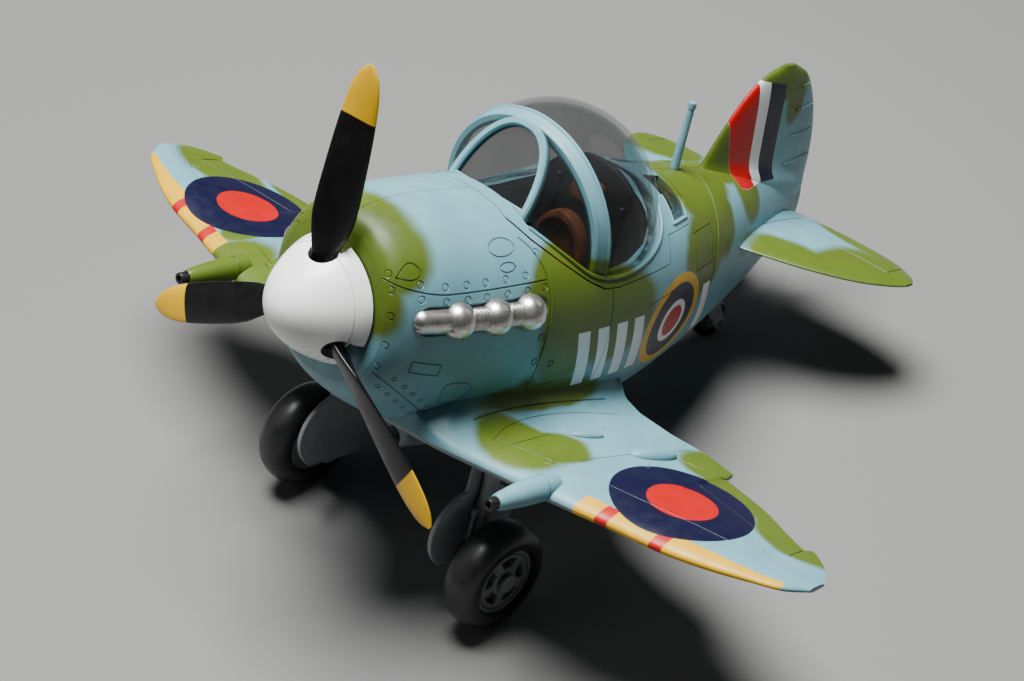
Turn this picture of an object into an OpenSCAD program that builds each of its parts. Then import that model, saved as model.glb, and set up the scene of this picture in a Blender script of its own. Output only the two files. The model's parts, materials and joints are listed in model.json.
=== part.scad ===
// Deformed-scale propeller fighter model, built as the separate parts of a small plastic kit.
// The airframe is drawn level, nose towards -Y and port wing towards +X, with the propeller
// centre at the origin. on_wheels() then pitches it nose-up onto its three wheels.

/* [Stance] */
// Nose-up angle of the airframe when it stands on its wheels, degrees
pitch = 19.5; // [18.5:0.5:20.5]

/* [Fuselage] */
// Wall of the moulded shells
wall = 1.4; // [1.2:0.1:1.6]

/* [Propeller] */
// Radius from the shaft axis to a blade tip
prop_r = 29.5; // [28:0.5:30]
// Angle of the first blade from straight up, degrees
prop_phase = 2.3; // [-10:0.1:10]
// Radius of the spinner's back edge
spinner_r = 7.7; // [7.4:0.1:8]
// Radius of the propeller shaft
shaft_r = 1.2; // [1:0.1:1.4]

/* [Undercarriage] */
// Outer radius of a main tyre
tyre_r = 7.3; // [7:0.1:7.6]
// Half the distance between the main wheels
track_x = 18; // [17.8:0.1:18.4]
// Radius of the main wheel axles
axle_r = 0.9; // [0.7:0.1:1]
// Radius of the tail wheel's tyre
tail_tyre_r = 3; // [2.8:0.1:3.2]

/* [Canopy] */
// Radius of the clear bubble
bubble_r = 13.6; // [13.4:0.1:13.8]

/* [Hidden] */
$fn = 48;
side_pane_inset = 0.7;   // how far the side panes start behind the windscreen's plane
blade_table_r = 29.5;    // blade length that the table of blade sections is drawn for
clear = 0.05;            // running clearance round a shaft, radial
gap = 0.3;               // space between bodies that move apart
main_y = 22.9;           // main axles, in the level airframe
main_z = -33.3;
tail_y = 81;             // tail wheel axle
ground = -main_y * sin(pitch) + main_z * cos(pitch) - tyre_r;
tail_z = (ground + tail_tyre_r + tail_y * sin(pitch)) / cos(pitch);
origin_y = -42.5;        // brings the middle of the model's length over the origin
nose_y = 2.5;            // flat face behind the spinner
tail_end_y = 93;
bubble_at = [0, 38, 6.8];
hoop_tilt = 9.5;         // the hoop's lean towards the nose, degrees
hoop_y = 33.4;           // middle of the hoop, level with the bubble's centre
door_x = 12.5;           // gear door's mid-plane
leg_x = 14;              // gear leg's axis
cannon_x = 28.2;
cannon_z = -12.1;

// ---------- placing ----------
module on_wheels() {
  translate([0, origin_y, -ground]) rotate([-pitch, 0, 0]) children();
}
// Children drawn for the port side, which is +X, and mirrored when starboard.
module on_side(port) {
  on_wheels() mirror([port ? 0 : 1, 0, 0]) children();
}
// A cylinder along Y or X, from one coordinate to another.
module rod_y(r, from, to) {
  translate([0, from, 0]) rotate([-90, 0, 0]) cylinder(r = r, h = to - from);
}
module rod_x(r, from, to) {
  translate([from, 0, 0]) rotate([0, 90, 0]) cylinder(r = r, h = to - from);
}
// A side-view outline, [y, z] points, pushed through from x = from to x = to.
module side_prism(outline, from, to) {
  translate([to, 0, 0]) rotate([90, 0, -90]) mirror([1, 0, 0]) linear_extrude(to - from)
    polygon(outline);
}

// ---------- curves and lofts ----------
// A table's rows are [position, value, value...]. look() reads column c at t, smoothly.
function row_of(tab, t, i = 0) = i >= len(tab) - 2 || t < tab[i + 1][0] ? i : row_of(tab, t, i + 1);
function slope(tab, c, i) =
  let(a = max(i - 1, 0), b = min(i + 1, len(tab) - 1))
  (tab[b][c] - tab[a][c]) / (tab[b][0] - tab[a][0]);
function look(tab, c, t) =
  let(i = row_of(tab, t), h = tab[i + 1][0] - tab[i][0], u = (t - tab[i][0]) / h)
  tab[i][c] * (2*u*u*u - 3*u*u + 1) + slope(tab, c, i) * h * (u*u*u - 2*u*u + u)
  + tab[i + 1][c] * (3*u*u - 2*u*u*u) + slope(tab, c, i + 1) * h * (u*u*u - u*u);
function spow(v, e) = sign(v) * pow(abs(v), e);
function steps(a, b, n) = [for (i = [0:n]) a + (b - a) * i / n];
function reversed(v) = [for (i = [len(v) - 1:-1:0]) v[i]];

// Joins rings of points that all run the same way round, and caps both ends.
module loft(rings) {
  n = len(rings[0]);
  m = len(rings);
  polyhedron(
    points = [for (r = rings) each r],
    faces = [
      [for (i = [n - 1:-1:0]) i],
      for (k = [0:m - 2], i = [0:n - 1])
        [k*n + i, k*n + (i + 1) % n, (k + 1)*n + (i + 1) % n, (k + 1)*n + i],
      [for (i = [0:n - 1]) (m - 1)*n + i]],
    convexity = 6);
}
// Works the children out as one mesh.
module as_mesh() { resize([0, 0, 0]) children(); }

// ---------- fuselage ----------
// y, half width, top, bottom, height of the widest point
BODY = [
  [2.5, 9, 9.2, -9.6, 0],
  [3.1, 10, 10.3, -10.7, -0.2],
  [4.2, 10.9, 11.1, -11.9, -0.5],
  [7, 12, 11.8, -14, -1],
  [12, 13.1, 12.1, -16.8, -1.5],
  [20, 14.2, 11.6, -19.8, -2],
  [30, 15, 10.8, -21.8, -2.6],
  [40, 15, 10.8, -22.2, -3],
  [50, 13.8, 10.4, -21, -3.2],
  [60, 11.4, 9, -18.8, -3.2],
  [70, 8.4, 8, -16.2, -3],
  [80, 5.2, 6.6, -12.6, -2.4],
  [88, 2.6, 5, -8.6, -1.6],
  [93, 1.3, 3.6, -5, -1]];
BODY_Y = [2.5, 3.1, 4.2, 7, each steps(11, 89, 13), 93];
function body_ring(y, inset = 0, n = 28) =
  let(w = look(BODY, 1, y) - inset, t = look(BODY, 2, y) - inset, b = look(BODY, 3, y) + inset,
      m = look(BODY, 4, y))
  [for (i = [0:n - 1]) let(a = 360 * i / n, s = sin(a), c = cos(a))
    [w * spow(c, 0.93), y, m + (s >= 0 ? t - m : m - b) * spow(s, 0.93)]];
module body_solid() { loft([for (y = BODY_Y) body_ring(y)]); }
// The same shape drawn in by inset, between two stations.
module body_core(inset, from, to, n = 10) {
  loft([for (y = steps(from, to, n)) body_ring(y, inset)]);
}

// The canopy unit's footprint and its openings, as side-view outlines.
FOOT = [
  [22.3, 14], [22.3, 10.2], [24.2, 8.5], [27.5, 6.3], [31.5, 3.9], [34.6, 2.5], [37, 2.3],
  [48.8, 2.9], [49.6, 5.9], [55.6, 5.9], [57, 8], [57, 14]];
GLASS_LINE = [
  [25, 9.6], [29, 6.8], [32.6, 4.4], [36.7, 3.7], [41.2, 4], [45.3, 5.1], [48.1, 6.7],
  [50, 8.8], [50.8, 11]];
WINDOW = [[53, 12], [52.2, 9], [51.4, 6.7], [55.3, 6.7], [56.1, 8.2], [56, 12]];

// ---------- fin ----------
// z, leading edge, trailing edge, half thickness
FIN = [
  [0, 74, 93.8, 1.2],
  [4, 66.5, 93.7, 1.9],
  [8.8, 68.2, 93.1, 1.6],
  [14, 71, 91.3, 1.3],
  [18, 73.8, 88.9, 1.1],
  [20.6, 76.8, 86.4, 0.8],
  [22, 80.4, 83.2, 0.4]];
function lens_ring(z, a, b, t, n = 16) =
  [for (i = [0:n - 1]) let(q = -360 * i / n) [t * sin(q), (a + b) / 2 - (b - a) / 2 * cos(q), z]];
module fin_solid() {
  loft([for (z = [0, 4, 8.8, 14, 18, 20.6, 22])
    lens_ring(z, look(FIN, 1, z), look(FIN, 2, z), look(FIN, 3, z))]);
}

module fuselage_half() {
  as_mesh() intersection() {
    difference() {
      union() {
        body_solid();
        fin_solid();
      }
      body_core(wall, nose_y + wall, tail_end_y - 8, 14);
      side_prism(FOOT, -20, 20);
      rod_y(2.6, 0, 6);
      translate([0, tail_y - 2.5, tail_z + 3]) cylinder(r = 1, h = 4, $fn = 32);
    }
    translate([0, -10, -40]) cube([40, 120, 80]);
  }
}

// ---------- wings ----------
// x, leading edge, trailing edge, half thickness
WING = [
  [5, 10.6, 47, 2.3],
  [13, 10.9, 45.2, 2.2],
  [16, 11.3, 42.8, 2.2],
  [20, 11.9, 41, 2.1],
  [26, 12.8, 40, 2],
  [32, 13.8, 39.8, 1.8],
  [36.9, 14.7, 38.6, 1.6],
  [37.3, 14.8, 36.6, 1.6],
  [44.8, 16, 34.5, 1.4],
  [50, 17.8, 32.2, 1.1],
  [53.3, 19.4, 31, 0.85],
  [53.7, 19.6, 31.8, 0.82],
  [57.2, 21.6, 29.4, 0.6],
  [59, 24, 26.8, 0.3]];
function wing_z(x) = -12.6 + 0.09 * (x - 30.4);
function thick(u) = 2.969 * sqrt(u) - 1.26 * u - 3.516 * u*u + 2.843 * u*u*u - 0.961 * u*u*u*u;
// The upper (up = 1) or lower (up = -1) half of a section, closed along its chord.
function wing_ring(row, up) =
  let(x = row[0], a = row[1], c = row[2] - row[1], n = 9,
      half = [for (i = [0:n]) let(u = (1 - cos(180 * i / n)) / 2, y = a + u * c)
        [x, y, wing_z(x) + up * (row[3] * thick(u) + 0.15 * u)]],
      ring = concat(half, [[x, a + c, wing_z(x)]]))
  up > 0 ? ring : reversed(ring);
module wing_half(up) {
  as_mesh() difference() {
    loft([for (row = WING) wing_ring(row, up)]);
    body_solid();
    loft([for (row = WING) if (row[0] > 13 && row[0] < 34)
      wing_ring([row[0] + 2, row[1] + 5, row[2] - 7, row[3] - 0.9], up)]);
    translate([cannon_x, 0, cannon_z]) rod_y(1.6, 11, 15.6);
    if (up < 0) translate([leg_x, main_y, main_z]) cylinder(r = 1.15, h = 19);
  }
}

// ---------- tailplanes ----------
// x, leading edge, trailing edge, half thickness
TAILPLANE = [
  [3, 69.4, 90.6, 1.1],
  [7, 70.3, 91.2, 1],
  [12, 72.6, 91.7, 0.9],
  [18, 76.3, 91.6, 0.8],
  [22.4, 80.3, 90.7, 0.6],
  [24.8, 84, 89.2, 0.4],
  [25.6, 86, 88, 0.2]];
function flat_ring(x, a, b, t, z, n = 16) =
  [for (i = [0:n - 1]) let(q = 360 * i / n) [x, (a + b) / 2 - (b - a) / 2 * cos(q), z + t * sin(q)]];
module tailplane() {
  as_mesh() difference() {
    loft([for (r = TAILPLANE) flat_ring(r[0], r[1], r[2], r[3], -0.6 + 0.01 * r[0])]);
    body_solid();
    fin_solid();
  }
}

// ---------- small airframe parts ----------
module carburettor_intake_shape() {
  as_mesh() difference() {
    translate([0, 18.5, -21.2]) intersection() {
      rotate([-97, 0, 0]) scale([1.25, 1, 1]) cylinder(r1 = 1.9, r2 = 2.5, h = 14, $fn = 24);
      translate([-5, 0.6, -6]) cube([10, 12, 12]);
    }
    translate([0, 18, -21.5]) rotate([-90, 0, 0]) cylinder(r = 1.4, h = 5, $fn = 16);
    body_solid();
  }
}
module antenna_mast_shape() {
  as_mesh() difference() {
    translate([0, 62, 8.2]) {
      cylinder(r1 = 0.8, r2 = 0.5, h = 9.7, $fn = 32);
      translate([0, 0, 9.6]) cylinder(r = 0.6, h = 0.6, $fn = 32);
    }
    body_solid();
  }
}
// One row of exhaust stubs: a long front pipe and three round collectors.
EXHAUST = [[12.5, 10.9], [13.5, 16.1], [14.1, 21.2]];
module exhaust() {
  as_mesh() difference() {
    union() {
      for (p = EXHAUST) translate([p[0], p[1], 1.9]) sphere(r = 2.25, $fn = 20);
      hull() {
        translate([11, 5.6, 1.9]) sphere(r = 1.65, $fn = 16);
        translate([12.1, 9.6, 1.9]) sphere(r = 1.65, $fn = 16);
      }
      hull() for (p = [EXHAUST[0], EXHAUST[2]]) translate([p[0], p[1], 1.9]) sphere(r = 1.2, $fn = 12);
    }
    body_solid();
  }
}
module cannon_fairing() {
  translate([cannon_x, 0, cannon_z]) rotate([-90, 0, 0]) difference() {
    rotate_extrude()
      polygon([[0, 6], [0.85, 6], [1.05, 6.6], [1.35, 9], [1.6, 12.5], [1.6, 15.5], [0, 15.5]]);
    translate([0, 0, 5]) cylinder(r = 0.5, h = 3);
  }
}
module cannon() {
  translate([cannon_x, 0, cannon_z]) difference() {
    union() {
      rod_y(0.5, 5.4, 8);
      rod_y(0.75, 4.8, 6);
    }
    rod_y(0.35, 4, 5.8);
  }
}

// ---------- propeller ----------
module nose_bulkhead_shape() {
  difference() {
    rod_y(10, 6, 7.5);
    rod_y(2, 5, 9);
  }
}
module shaft_bush_shape() {
  difference() {
    union() {
      rod_y(2, 2.6, 8.2);
      rod_y(3, 8.2, 9.2);
      rod_y(2.55, 2.6, 3.8);
    }
    rod_y(shaft_r + clear, 1, 10);
  }
}
module propeller_shaft_shape() { rod_y(shaft_r, -2.3, 11.4); }
module shaft_collar_shape() {
  difference() {
    rod_y(2.4, 9.35, 10.9);
    rod_y(shaft_r, 9, 12);
  }
}
module on_hub() { for (k = [0:2]) rotate([0, prop_phase + 120 * k, 0]) children(); }
module propeller_hub_shape() {
  difference() {
    rod_y(3.4, -2.3, 1.65);
    rod_y(shaft_r, -6, 2.5);
    on_hub() translate([0, 0, 2]) cylinder(r = 0.8, h = 3);
  }
}
module spinner_backplate_shape() {
  difference() {
    rod_y(spinner_r - 1.65, 1.65, spinner_back);
    rod_y(shaft_r, 0, 3);
  }
}
spinner_tip = -5.9;
spinner_back = nose_y - gap;
// The spinner's radius at y, a blunt dome.
function spinner_at(y) =
  spinner_r * pow(max(0, 1 - pow((spinner_back - y) / (spinner_back - spinner_tip), 1.14)), 0.49);
module spinner_dome(inset) {
  rotate([90, 0, 0]) rotate_extrude() polygon([
    [0, -spinner_back - inset],
    [spinner_r - inset, -spinner_back - inset],
    for (a = [0:9:81]) let(y = spinner_back + (spinner_tip - spinner_back) * sin(a))
      [max(0.3, spinner_at(y) - inset), -y],
    [0, -spinner_tip - inset]]);
}
module spinner_shape() {
  difference() {
    spinner_dome(0);
    spinner_dome(1.2);
    on_hub() translate([0, 0, 3]) cylinder(r = 1.8, h = 8);
    on_hub() translate([-1.8, 0, 3]) cube([3.6, 4, 8]);
  }
}
// Blade radius, chord, pitch angle, thickness
BLADE = [
  [3.6, 2.2, 55, 1.8],
  [6.5, 3.1, 47, 1.6],
  [8.6, 4.2, 40, 1.5],
  [11, 5.1, 33, 1.3],
  [17, 5.2, 21, 1],
  [23, 4.8, 13, 0.8],
  [26.6, 3.9, 10, 0.7],
  [28.6, 2.4, 9, 0.5],
  [29.5, 0.7, 9, 0.3]];
module blade() {
  as_mesh() scale([1, 1, prop_r / blade_table_r]) {
    loft([for (r = BLADE) [for (i = [0:11]) let(q = -30 * i, u = r[1] / 2 * cos(q), v = r[3] / 2 * sin(q))
      [u * cos(r[2]) - v * sin(r[2]), u * sin(r[2]) + v * cos(r[2]), r[0]]]]);
    translate([0, 0, 2]) cylinder(r = 0.78, h = 3, $fn = 16);
  }
}

// ---------- cockpit ----------
SILL = [
  [24.5, 6.8], [27.5, 5], [31.5, 2.6], [34.8, 1.2], [37, 1], [48, 1.6], [48, -9], [24.5, -9]];
module cockpit_tub_shape() {
  as_mesh() difference() {
    intersection() {
      body_core(wall + 0.15, 24.5, 48, 6);
      side_prism(SILL, -20, 20);
    }
    difference() {
      body_core(wall + 1.35, 23, 50, 6);
      translate([-20, 20, -20]) cube([40, 40, 12.2]);
    }
  }
}
// A panel with a rounded top that stands across the cockpit.
module arch_panel(w, top, bottom, from, to) {
  translate([0, to, 0]) rotate([90, 0, 0]) linear_extrude(to - from)
    polygon([for (a = steps(0, 180, 16)) [w * cos(a), bottom + (top - bottom) * (0.45 + 0.55 * sin(a))],
             [-w, bottom], [w, bottom]]);
}
module cockpit_bulkhead_shape() { arch_panel(9.9, 12.2, -7.6, 45.6, 46.6); }
module instrument_panel_shape() { arch_panel(9.4, 6.4, -7.6, 26.3, 27.3); }
module gunsight_shape() {
  translate([0, 26.8, 6.4]) {
    cylinder(r = 0.9, h = 1.6);
    translate([-0.8, -0.3, 1.5]) cube([1.6, 0.5, 1.8]);
  }
}
module control_stick_shape() {
  translate([0, 32, -7.7]) rotate([-6, 0, 0]) {
    cylinder(r = 0.6, h = 8);
    translate([0, -0.5, 9.3]) rotate([-90, 0, 0]) difference() {
      cylinder(r = 1.7, h = 1);
      translate([0, 0, -1]) cylinder(r = 0.9, h = 3);
    }
  }
}
// A bucket seat: a deep pan and a back with a rounded top, both hollowed towards the pilot.
module seat_shape() {
  difference() {
    union() {
      translate([-4.8, 33.5, -7.6]) cube([9.6, 9, 4.8]);
      arch_panel(4.6, 5.4, -7, 40.9, 43.1);
    }
    translate([-3.8, 34.4, -4.6]) cube([7.6, 5.6, 4]);
    arch_panel(3.6, 4.4, -3.4, 38, 42.1);
  }
}
module seat_cushion_shape() { translate([-3.7, 34.5, -4.55]) cube([7.4, 5.2, 1.4]); }
module headrest_shape() {
  translate([-2.6, 44.4, 6]) cube([5.2, 1.15, 3.6]);
}

// ---------- canopy ----------
module ball(r) { translate(bubble_at) sphere(r = r, $fn = 32); }
// A flat slab across the bubble, leaning with the hoop.
module hoop_slab(front, back) {
  translate([0, hoop_y, bubble_at[2]]) rotate([hoop_tilt, 0, 0]) translate([-20, front, -20])
    cube([40, back - front, 40]);
}
function pulled(outline, d) = [for (p = outline) [p[0] + (p[0] < 40 ? d : -d), p[1] + d]];
module canopy_rail_shape() {
  as_mesh() difference() {
    intersection() {
      body_solid();
      side_prism(pulled(FOOT, gap), -20, 20);
    }
    body_core(wall, 20, 60, 8);
    side_prism(concat(GLASS_LINE, [[50.8, 16], [25, 16]]), -20, 20);
    side_prism(WINDOW, 2, 20);
    side_prism(WINDOW, -20, -2);
  }
}
arch_w = 6.2;            // windscreen pane, half width of its frame's middle
arch_h = 10;
arch_at = [0, 25.6, 9.6];
arch_tilt = 27.3;
function arch(w, h) = [for (a = steps(0, 180, 20)) [w * spow(cos(a), 0.85), h * sin(a)]];
module on_pane() { translate(arch_at) rotate([90 - arch_tilt, 0, 0]) children(); }
module windscreen_frame_shape() {
  as_mesh() difference() {
    on_pane() translate([0, 0, -0.5]) linear_extrude(1.3) difference() {
      polygon(arch(arch_w + 0.5, arch_h + 0.5));
      translate([0, 0.7]) polygon(arch(arch_w - 0.6, arch_h - 1.3));
    }
    intersection() {
      ball(bubble_r + 1);
      hoop_slab(-1.05, 10);
    }
    body_solid();
  }
}
// Points along the pane's arch and along the hoop's front edge, for one side.
function arch_point(a) =
  let(p = [(arch_w + 0.55) * spow(cos(a), 0.85), (arch_h + 0.55) * sin(a)])
  [p[0], arch_at[1] + p[1] * sin(arch_tilt) + side_pane_inset * cos(arch_tilt),
   arch_at[2] + p[1] * cos(arch_tilt) - side_pane_inset * sin(arch_tilt)];
function hoop_point(a) =
  let(r = 12.2, lean = r * sin(a))
  [r * cos(a), hoop_y - 1.1 - lean * sin(hoop_tilt), bubble_at[2] + lean * cos(hoop_tilt)];
module side_pane() {
  loft([for (i = [0:8]) let(a = arch_point(2 + i * 8), h = hoop_point(-8 + i * 9), t = [0.5, 0, 0.25])
    [a - t, h - t, h, a]]);
}
module windscreen_glass_shape() {
  as_mesh() {
    on_pane() translate([0, 0.75, -0.3]) linear_extrude(0.6) polygon(arch(arch_w - 0.65, arch_h - 1.45));
    side_pane();
    mirror([1, 0, 0]) side_pane();
  }
}
module above_glass_line(lift) {
  side_prism(concat([for (p = GLASS_LINE) p + [0, lift]], [[51.4, 30], [20, 30], [20, 9.6 + lift]]), -20, 20);
}
module canopy_hoop_shape() {
  intersection() {
    difference() {
      ball(bubble_r + 0.7);
      ball(bubble_r - 0.9);
    }
    hoop_slab(-1, 1);
    above_glass_line(0);
  }
}
module canopy_bubble_shape() {
  as_mesh() intersection() {
    difference() {
      ball(bubble_r);
      ball(bubble_r - 0.8);
    }
    hoop_slab(1, 30);
    above_glass_line(0);
  }
}
module quarter_window() {
  as_mesh() intersection() {
    difference() {
      body_core(0.3, 50, 57, 2);
      body_core(1, 49, 58, 2);
    }
    side_prism(WINDOW, 2, 20);
  }
}

// ---------- undercarriage ----------
module gear_leg() {
  translate([0, main_y, main_z]) difference() {
    union() {
      translate([leg_x, 0, -0.2]) cylinder(r = 1.1, h = 19.1);
      rod_x(1.9, door_x + 0.35, track_x - 2.6 - gap);
    }
    rod_x(axle_r, 10, 20);
  }
}
// The door's outline: a strip down the leg that widens to a round lobe beside the wheel.
module gear_door() {
  side_prism([
    [26.2, -16.4], [20.8, -16.4],
    for (a = [70:-20:-50]) [23 - 7.1 * cos(a), -29.5 + 6 * sin(a)],
    for (a = [230:-20:110]) [23 - 7.1 * cos(a), -29.5 + 6 * sin(a)]], door_x - 0.35, door_x + 0.35);
}
module axle() {
  translate([0, main_y, main_z]) {
    rod_x(axle_r, leg_x - 1, track_x + 2.3);
    rod_x(1.25, track_x + 2.3, track_x + 2.7);
  }
}
// A tyre round the X axis, its width rounded at the shoulders.
module tyre_shape(r, inner, half_w) {
  rotate([0, 90, 0]) rotate_extrude() polygon([
    [inner, -half_w * 0.8],
    for (a = steps(-90, 90, 12))
      [r + half_w * 0.95 * (spow(cos(a), 0.8) - 1), half_w * spow(sin(a), 0.9)],
    [inner, half_w * 0.8]]);
}
module hub_shape() {
  difference() {
    union() {
      rod_x(4.6, -1.9, 1.3);
      difference() {
        rod_x(4.6, 1.3, 2);
        rod_x(3.9, 1, 3);
      }
      rod_x(1.7, 1.3, 2);
    }
    rod_x(axle_r + clear, -5, 5);
    for (k = [0:4]) rotate([72 * k + 18, 0, 0]) rotate([90, 0, 90]) translate([0, 0, 1]) linear_extrude(2)
      polygon([for (a = [-24, 0, 24]) 3.5 * [cos(a), sin(a)], for (a = [24, 0, -24]) 2 * [cos(a), sin(a)]]);
  }
}
module tail_wheel_fork_shape() {
  difference() {
    union() {
      for (s = [-1, 1]) translate([s * 1.9 - 0.4, 0, 0]) hull() {
        translate([0, tail_y, tail_z]) rod_x(1, 0, 0.8, $fn = 24);
        translate([0, tail_y - 2.6, tail_z + 3.2]) rod_x(1, 0, 0.8, $fn = 24);
      }
      translate([-2.3, tail_y - 3.5, tail_z + 3]) cube([4.6, 2, 0.6]);
      translate([0, tail_y - 2.5, tail_z + 3.2]) cylinder(r = 0.95, h = 2);
    }
    translate([0, tail_y, tail_z]) rod_x(0.5, -5, 5);
  }
}

// ---------- the parts ----------
GREEN = "olivedrab";
BLUE = "lightslategray";
module fuselage_left() { color(GREEN) on_side(true) fuselage_half(); }
module fuselage_right() { color(GREEN) on_side(false) fuselage_half(); }
module wing_top_left() { color(BLUE) on_side(true) wing_half(1); }
module wing_top_right() { color(BLUE) on_side(false) wing_half(1); }
module wing_bottom_left() { color("gray") on_side(true) wing_half(-1); }
module wing_bottom_right() { color("gray") on_side(false) wing_half(-1); }
module tailplane_left() { color(GREEN) on_side(true) tailplane(); }
module tailplane_right() { color(GREEN) on_side(false) tailplane(); }
module carburettor_intake() { color("gray") on_wheels() carburettor_intake_shape(); }
module antenna_mast() { color(BLUE) on_wheels() antenna_mast_shape(); }
module exhaust_left() { color("silver") on_side(true) exhaust(); }
module exhaust_right() { color("silver") on_side(false) exhaust(); }
module cannon_fairing_left() { color(BLUE) on_side(true) cannon_fairing(); }
module cannon_fairing_right() { color(BLUE) on_side(false) cannon_fairing(); }
module cannon_left() { color("black") on_side(true) cannon(); }
module cannon_right() { color("black") on_side(false) cannon(); }
module nose_bulkhead() { color("gray") on_wheels() nose_bulkhead_shape(); }
module shaft_bush() { color("gray") on_wheels() shaft_bush_shape(); }
module propeller_shaft() { color("silver") on_wheels() propeller_shaft_shape(); }
module shaft_collar() { color("black") on_wheels() shaft_collar_shape(); }
module propeller_hub() { color("black") on_wheels() propeller_hub_shape(); }
module spinner() { color("white") on_wheels() spinner_shape(); }
module spinner_backplate() { color("white") on_wheels() spinner_backplate_shape(); }
module blade_1() { color("black") on_wheels() rotate([0, prop_phase, 0]) blade(); }
module blade_2() { color("black") on_wheels() rotate([0, prop_phase + 120, 0]) blade(); }
module blade_3() { color("black") on_wheels() rotate([0, prop_phase + 240, 0]) blade(); }
module cockpit_tub() { color("black") on_wheels() cockpit_tub_shape(); }
module cockpit_bulkhead() { color("black") on_wheels() cockpit_bulkhead_shape(); }
module instrument_panel() { color("black") on_wheels() instrument_panel_shape(); }
module gunsight() { color("black") on_wheels() gunsight_shape(); }
module control_stick() { color("black") on_wheels() control_stick_shape(); }
module seat() { color("saddlebrown") on_wheels() seat_shape(); }
module seat_cushion() { color("saddlebrown") on_wheels() seat_cushion_shape(); }
module headrest() { color("saddlebrown") on_wheels() headrest_shape(); }
module canopy_rail() { color(GREEN) on_wheels() canopy_rail_shape(); }
module windscreen_frame() { color(BLUE) on_wheels() windscreen_frame_shape(); }
module windscreen_glass() { color("gray", 0.4) on_wheels() windscreen_glass_shape(); }
module canopy_hoop() { color(BLUE) on_wheels() canopy_hoop_shape(); }
module canopy_bubble() { color("gray", 0.4) on_wheels() canopy_bubble_shape(); }
module quarter_window_left() { color("gray", 0.4) on_side(true) quarter_window(); }
module quarter_window_right() { color("gray", 0.4) on_side(false) quarter_window(); }
module gear_leg_left() { color("gray") on_side(true) gear_leg(); }
module gear_leg_right() { color("gray") on_side(false) gear_leg(); }
module gear_door_left() { color("gray") on_side(true) gear_door(); }
module gear_door_right() { color("gray") on_side(false) gear_door(); }
module axle_left() { color("silver") on_side(true) axle(); }
module axle_right() { color("silver") on_side(false) axle(); }
module main_wheel_at() { translate([track_x, main_y, main_z]) children(); }
module tyre_left() { color("black") on_side(true) main_wheel_at() tyre_shape(tyre_r, 4.6, 2.6); }
module tyre_right() { color("black") on_side(false) main_wheel_at() tyre_shape(tyre_r, 4.6, 2.6); }
module hub_left() { color("dimgray") on_side(true) main_wheel_at() hub_shape(); }
module hub_right() { color("dimgray") on_side(false) main_wheel_at() hub_shape(); }
module tail_wheel_fork() { color("gray") on_wheels() tail_wheel_fork_shape(); }
module tail_wheel_axle() { color("silver") on_wheels() translate([0, tail_y, tail_z]) rod_x(0.5, -2.4, 2.4); }
module tail_wheel_tyre() {
  color("black") on_wheels() translate([0, tail_y, tail_z]) tyre_shape(tail_tyre_r, 1.7, 1.1);
}
module tail_wheel_hub() {
  color("dimgray") on_wheels() translate([0, tail_y, tail_z]) difference() {
    rod_x(1.7, -1, 1);
    rod_x(0.5 + clear, -3, 3);
  }
}

fuselage_left();
fuselage_right();
wing_top_left();
wing_top_right();
wing_bottom_left();
wing_bottom_right();
tailplane_left();
tailplane_right();
carburettor_intake();
antenna_mast();
exhaust_left();
exhaust_right();
cannon_fairing_left();
cannon_fairing_right();
cannon_left();
cannon_right();
nose_bulkhead();
shaft_bush();
propeller_shaft();
shaft_collar();
propeller_hub();
spinner();
spinner_backplate();
blade_1();
blade_2();
blade_3();
cockpit_tub();
cockpit_bulkhead();
instrument_panel();
gunsight();
control_stick();
seat();
seat_cushion();
headrest();
canopy_rail();
windscreen_frame();
windscreen_glass();
canopy_hoop();
canopy_bubble();
quarter_window_left();
quarter_window_right();
gear_leg_left();
gear_leg_right();
gear_door_left();
gear_door_right();
axle_left();
axle_right();
tyre_left();
tyre_right();
hub_left();
hub_right();
tail_wheel_fork();
tail_wheel_axle();
tail_wheel_tyre();
tail_wheel_hub();
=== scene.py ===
"""Looks of the propeller plane model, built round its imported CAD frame.

Shapes are worked out in the level airframe's own millimetres (x to port, y aft from the
propeller's centre, z up) and placed with the propeller and canopy joints of the frame.
"""

import json
from math import asin, atan2, copysign, cos, degrees, exp, pi, radians, sin, sqrt

import bmesh
import bpy
import numpy as np
from mathutils import Matrix, Vector


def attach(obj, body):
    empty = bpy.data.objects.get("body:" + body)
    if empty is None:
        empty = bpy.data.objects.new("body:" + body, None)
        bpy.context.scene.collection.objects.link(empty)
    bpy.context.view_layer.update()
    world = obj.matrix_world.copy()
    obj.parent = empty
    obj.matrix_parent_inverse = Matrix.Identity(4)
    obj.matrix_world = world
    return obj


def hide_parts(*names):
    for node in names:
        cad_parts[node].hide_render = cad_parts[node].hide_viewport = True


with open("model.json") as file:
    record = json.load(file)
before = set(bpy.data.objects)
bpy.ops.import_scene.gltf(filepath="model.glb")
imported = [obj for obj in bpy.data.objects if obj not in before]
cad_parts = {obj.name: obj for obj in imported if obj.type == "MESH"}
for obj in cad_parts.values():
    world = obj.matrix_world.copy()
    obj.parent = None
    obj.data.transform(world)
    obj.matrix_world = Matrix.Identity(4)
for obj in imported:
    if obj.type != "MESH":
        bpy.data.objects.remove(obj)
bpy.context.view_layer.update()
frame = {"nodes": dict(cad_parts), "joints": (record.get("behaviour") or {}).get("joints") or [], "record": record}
JOINTS = {j["name"]: j for j in frame["joints"]}
HUB = Vector(JOINTS["propeller_spin"]["pos_m"])
AFT = Vector(JOINTS["propeller_spin"]["axis"]).normalized()
UP = Vector(JOINTS["canopy_lift"]["axis"]).normalized()
PORT = AFT.cross(UP)
MM = 0.001

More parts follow.
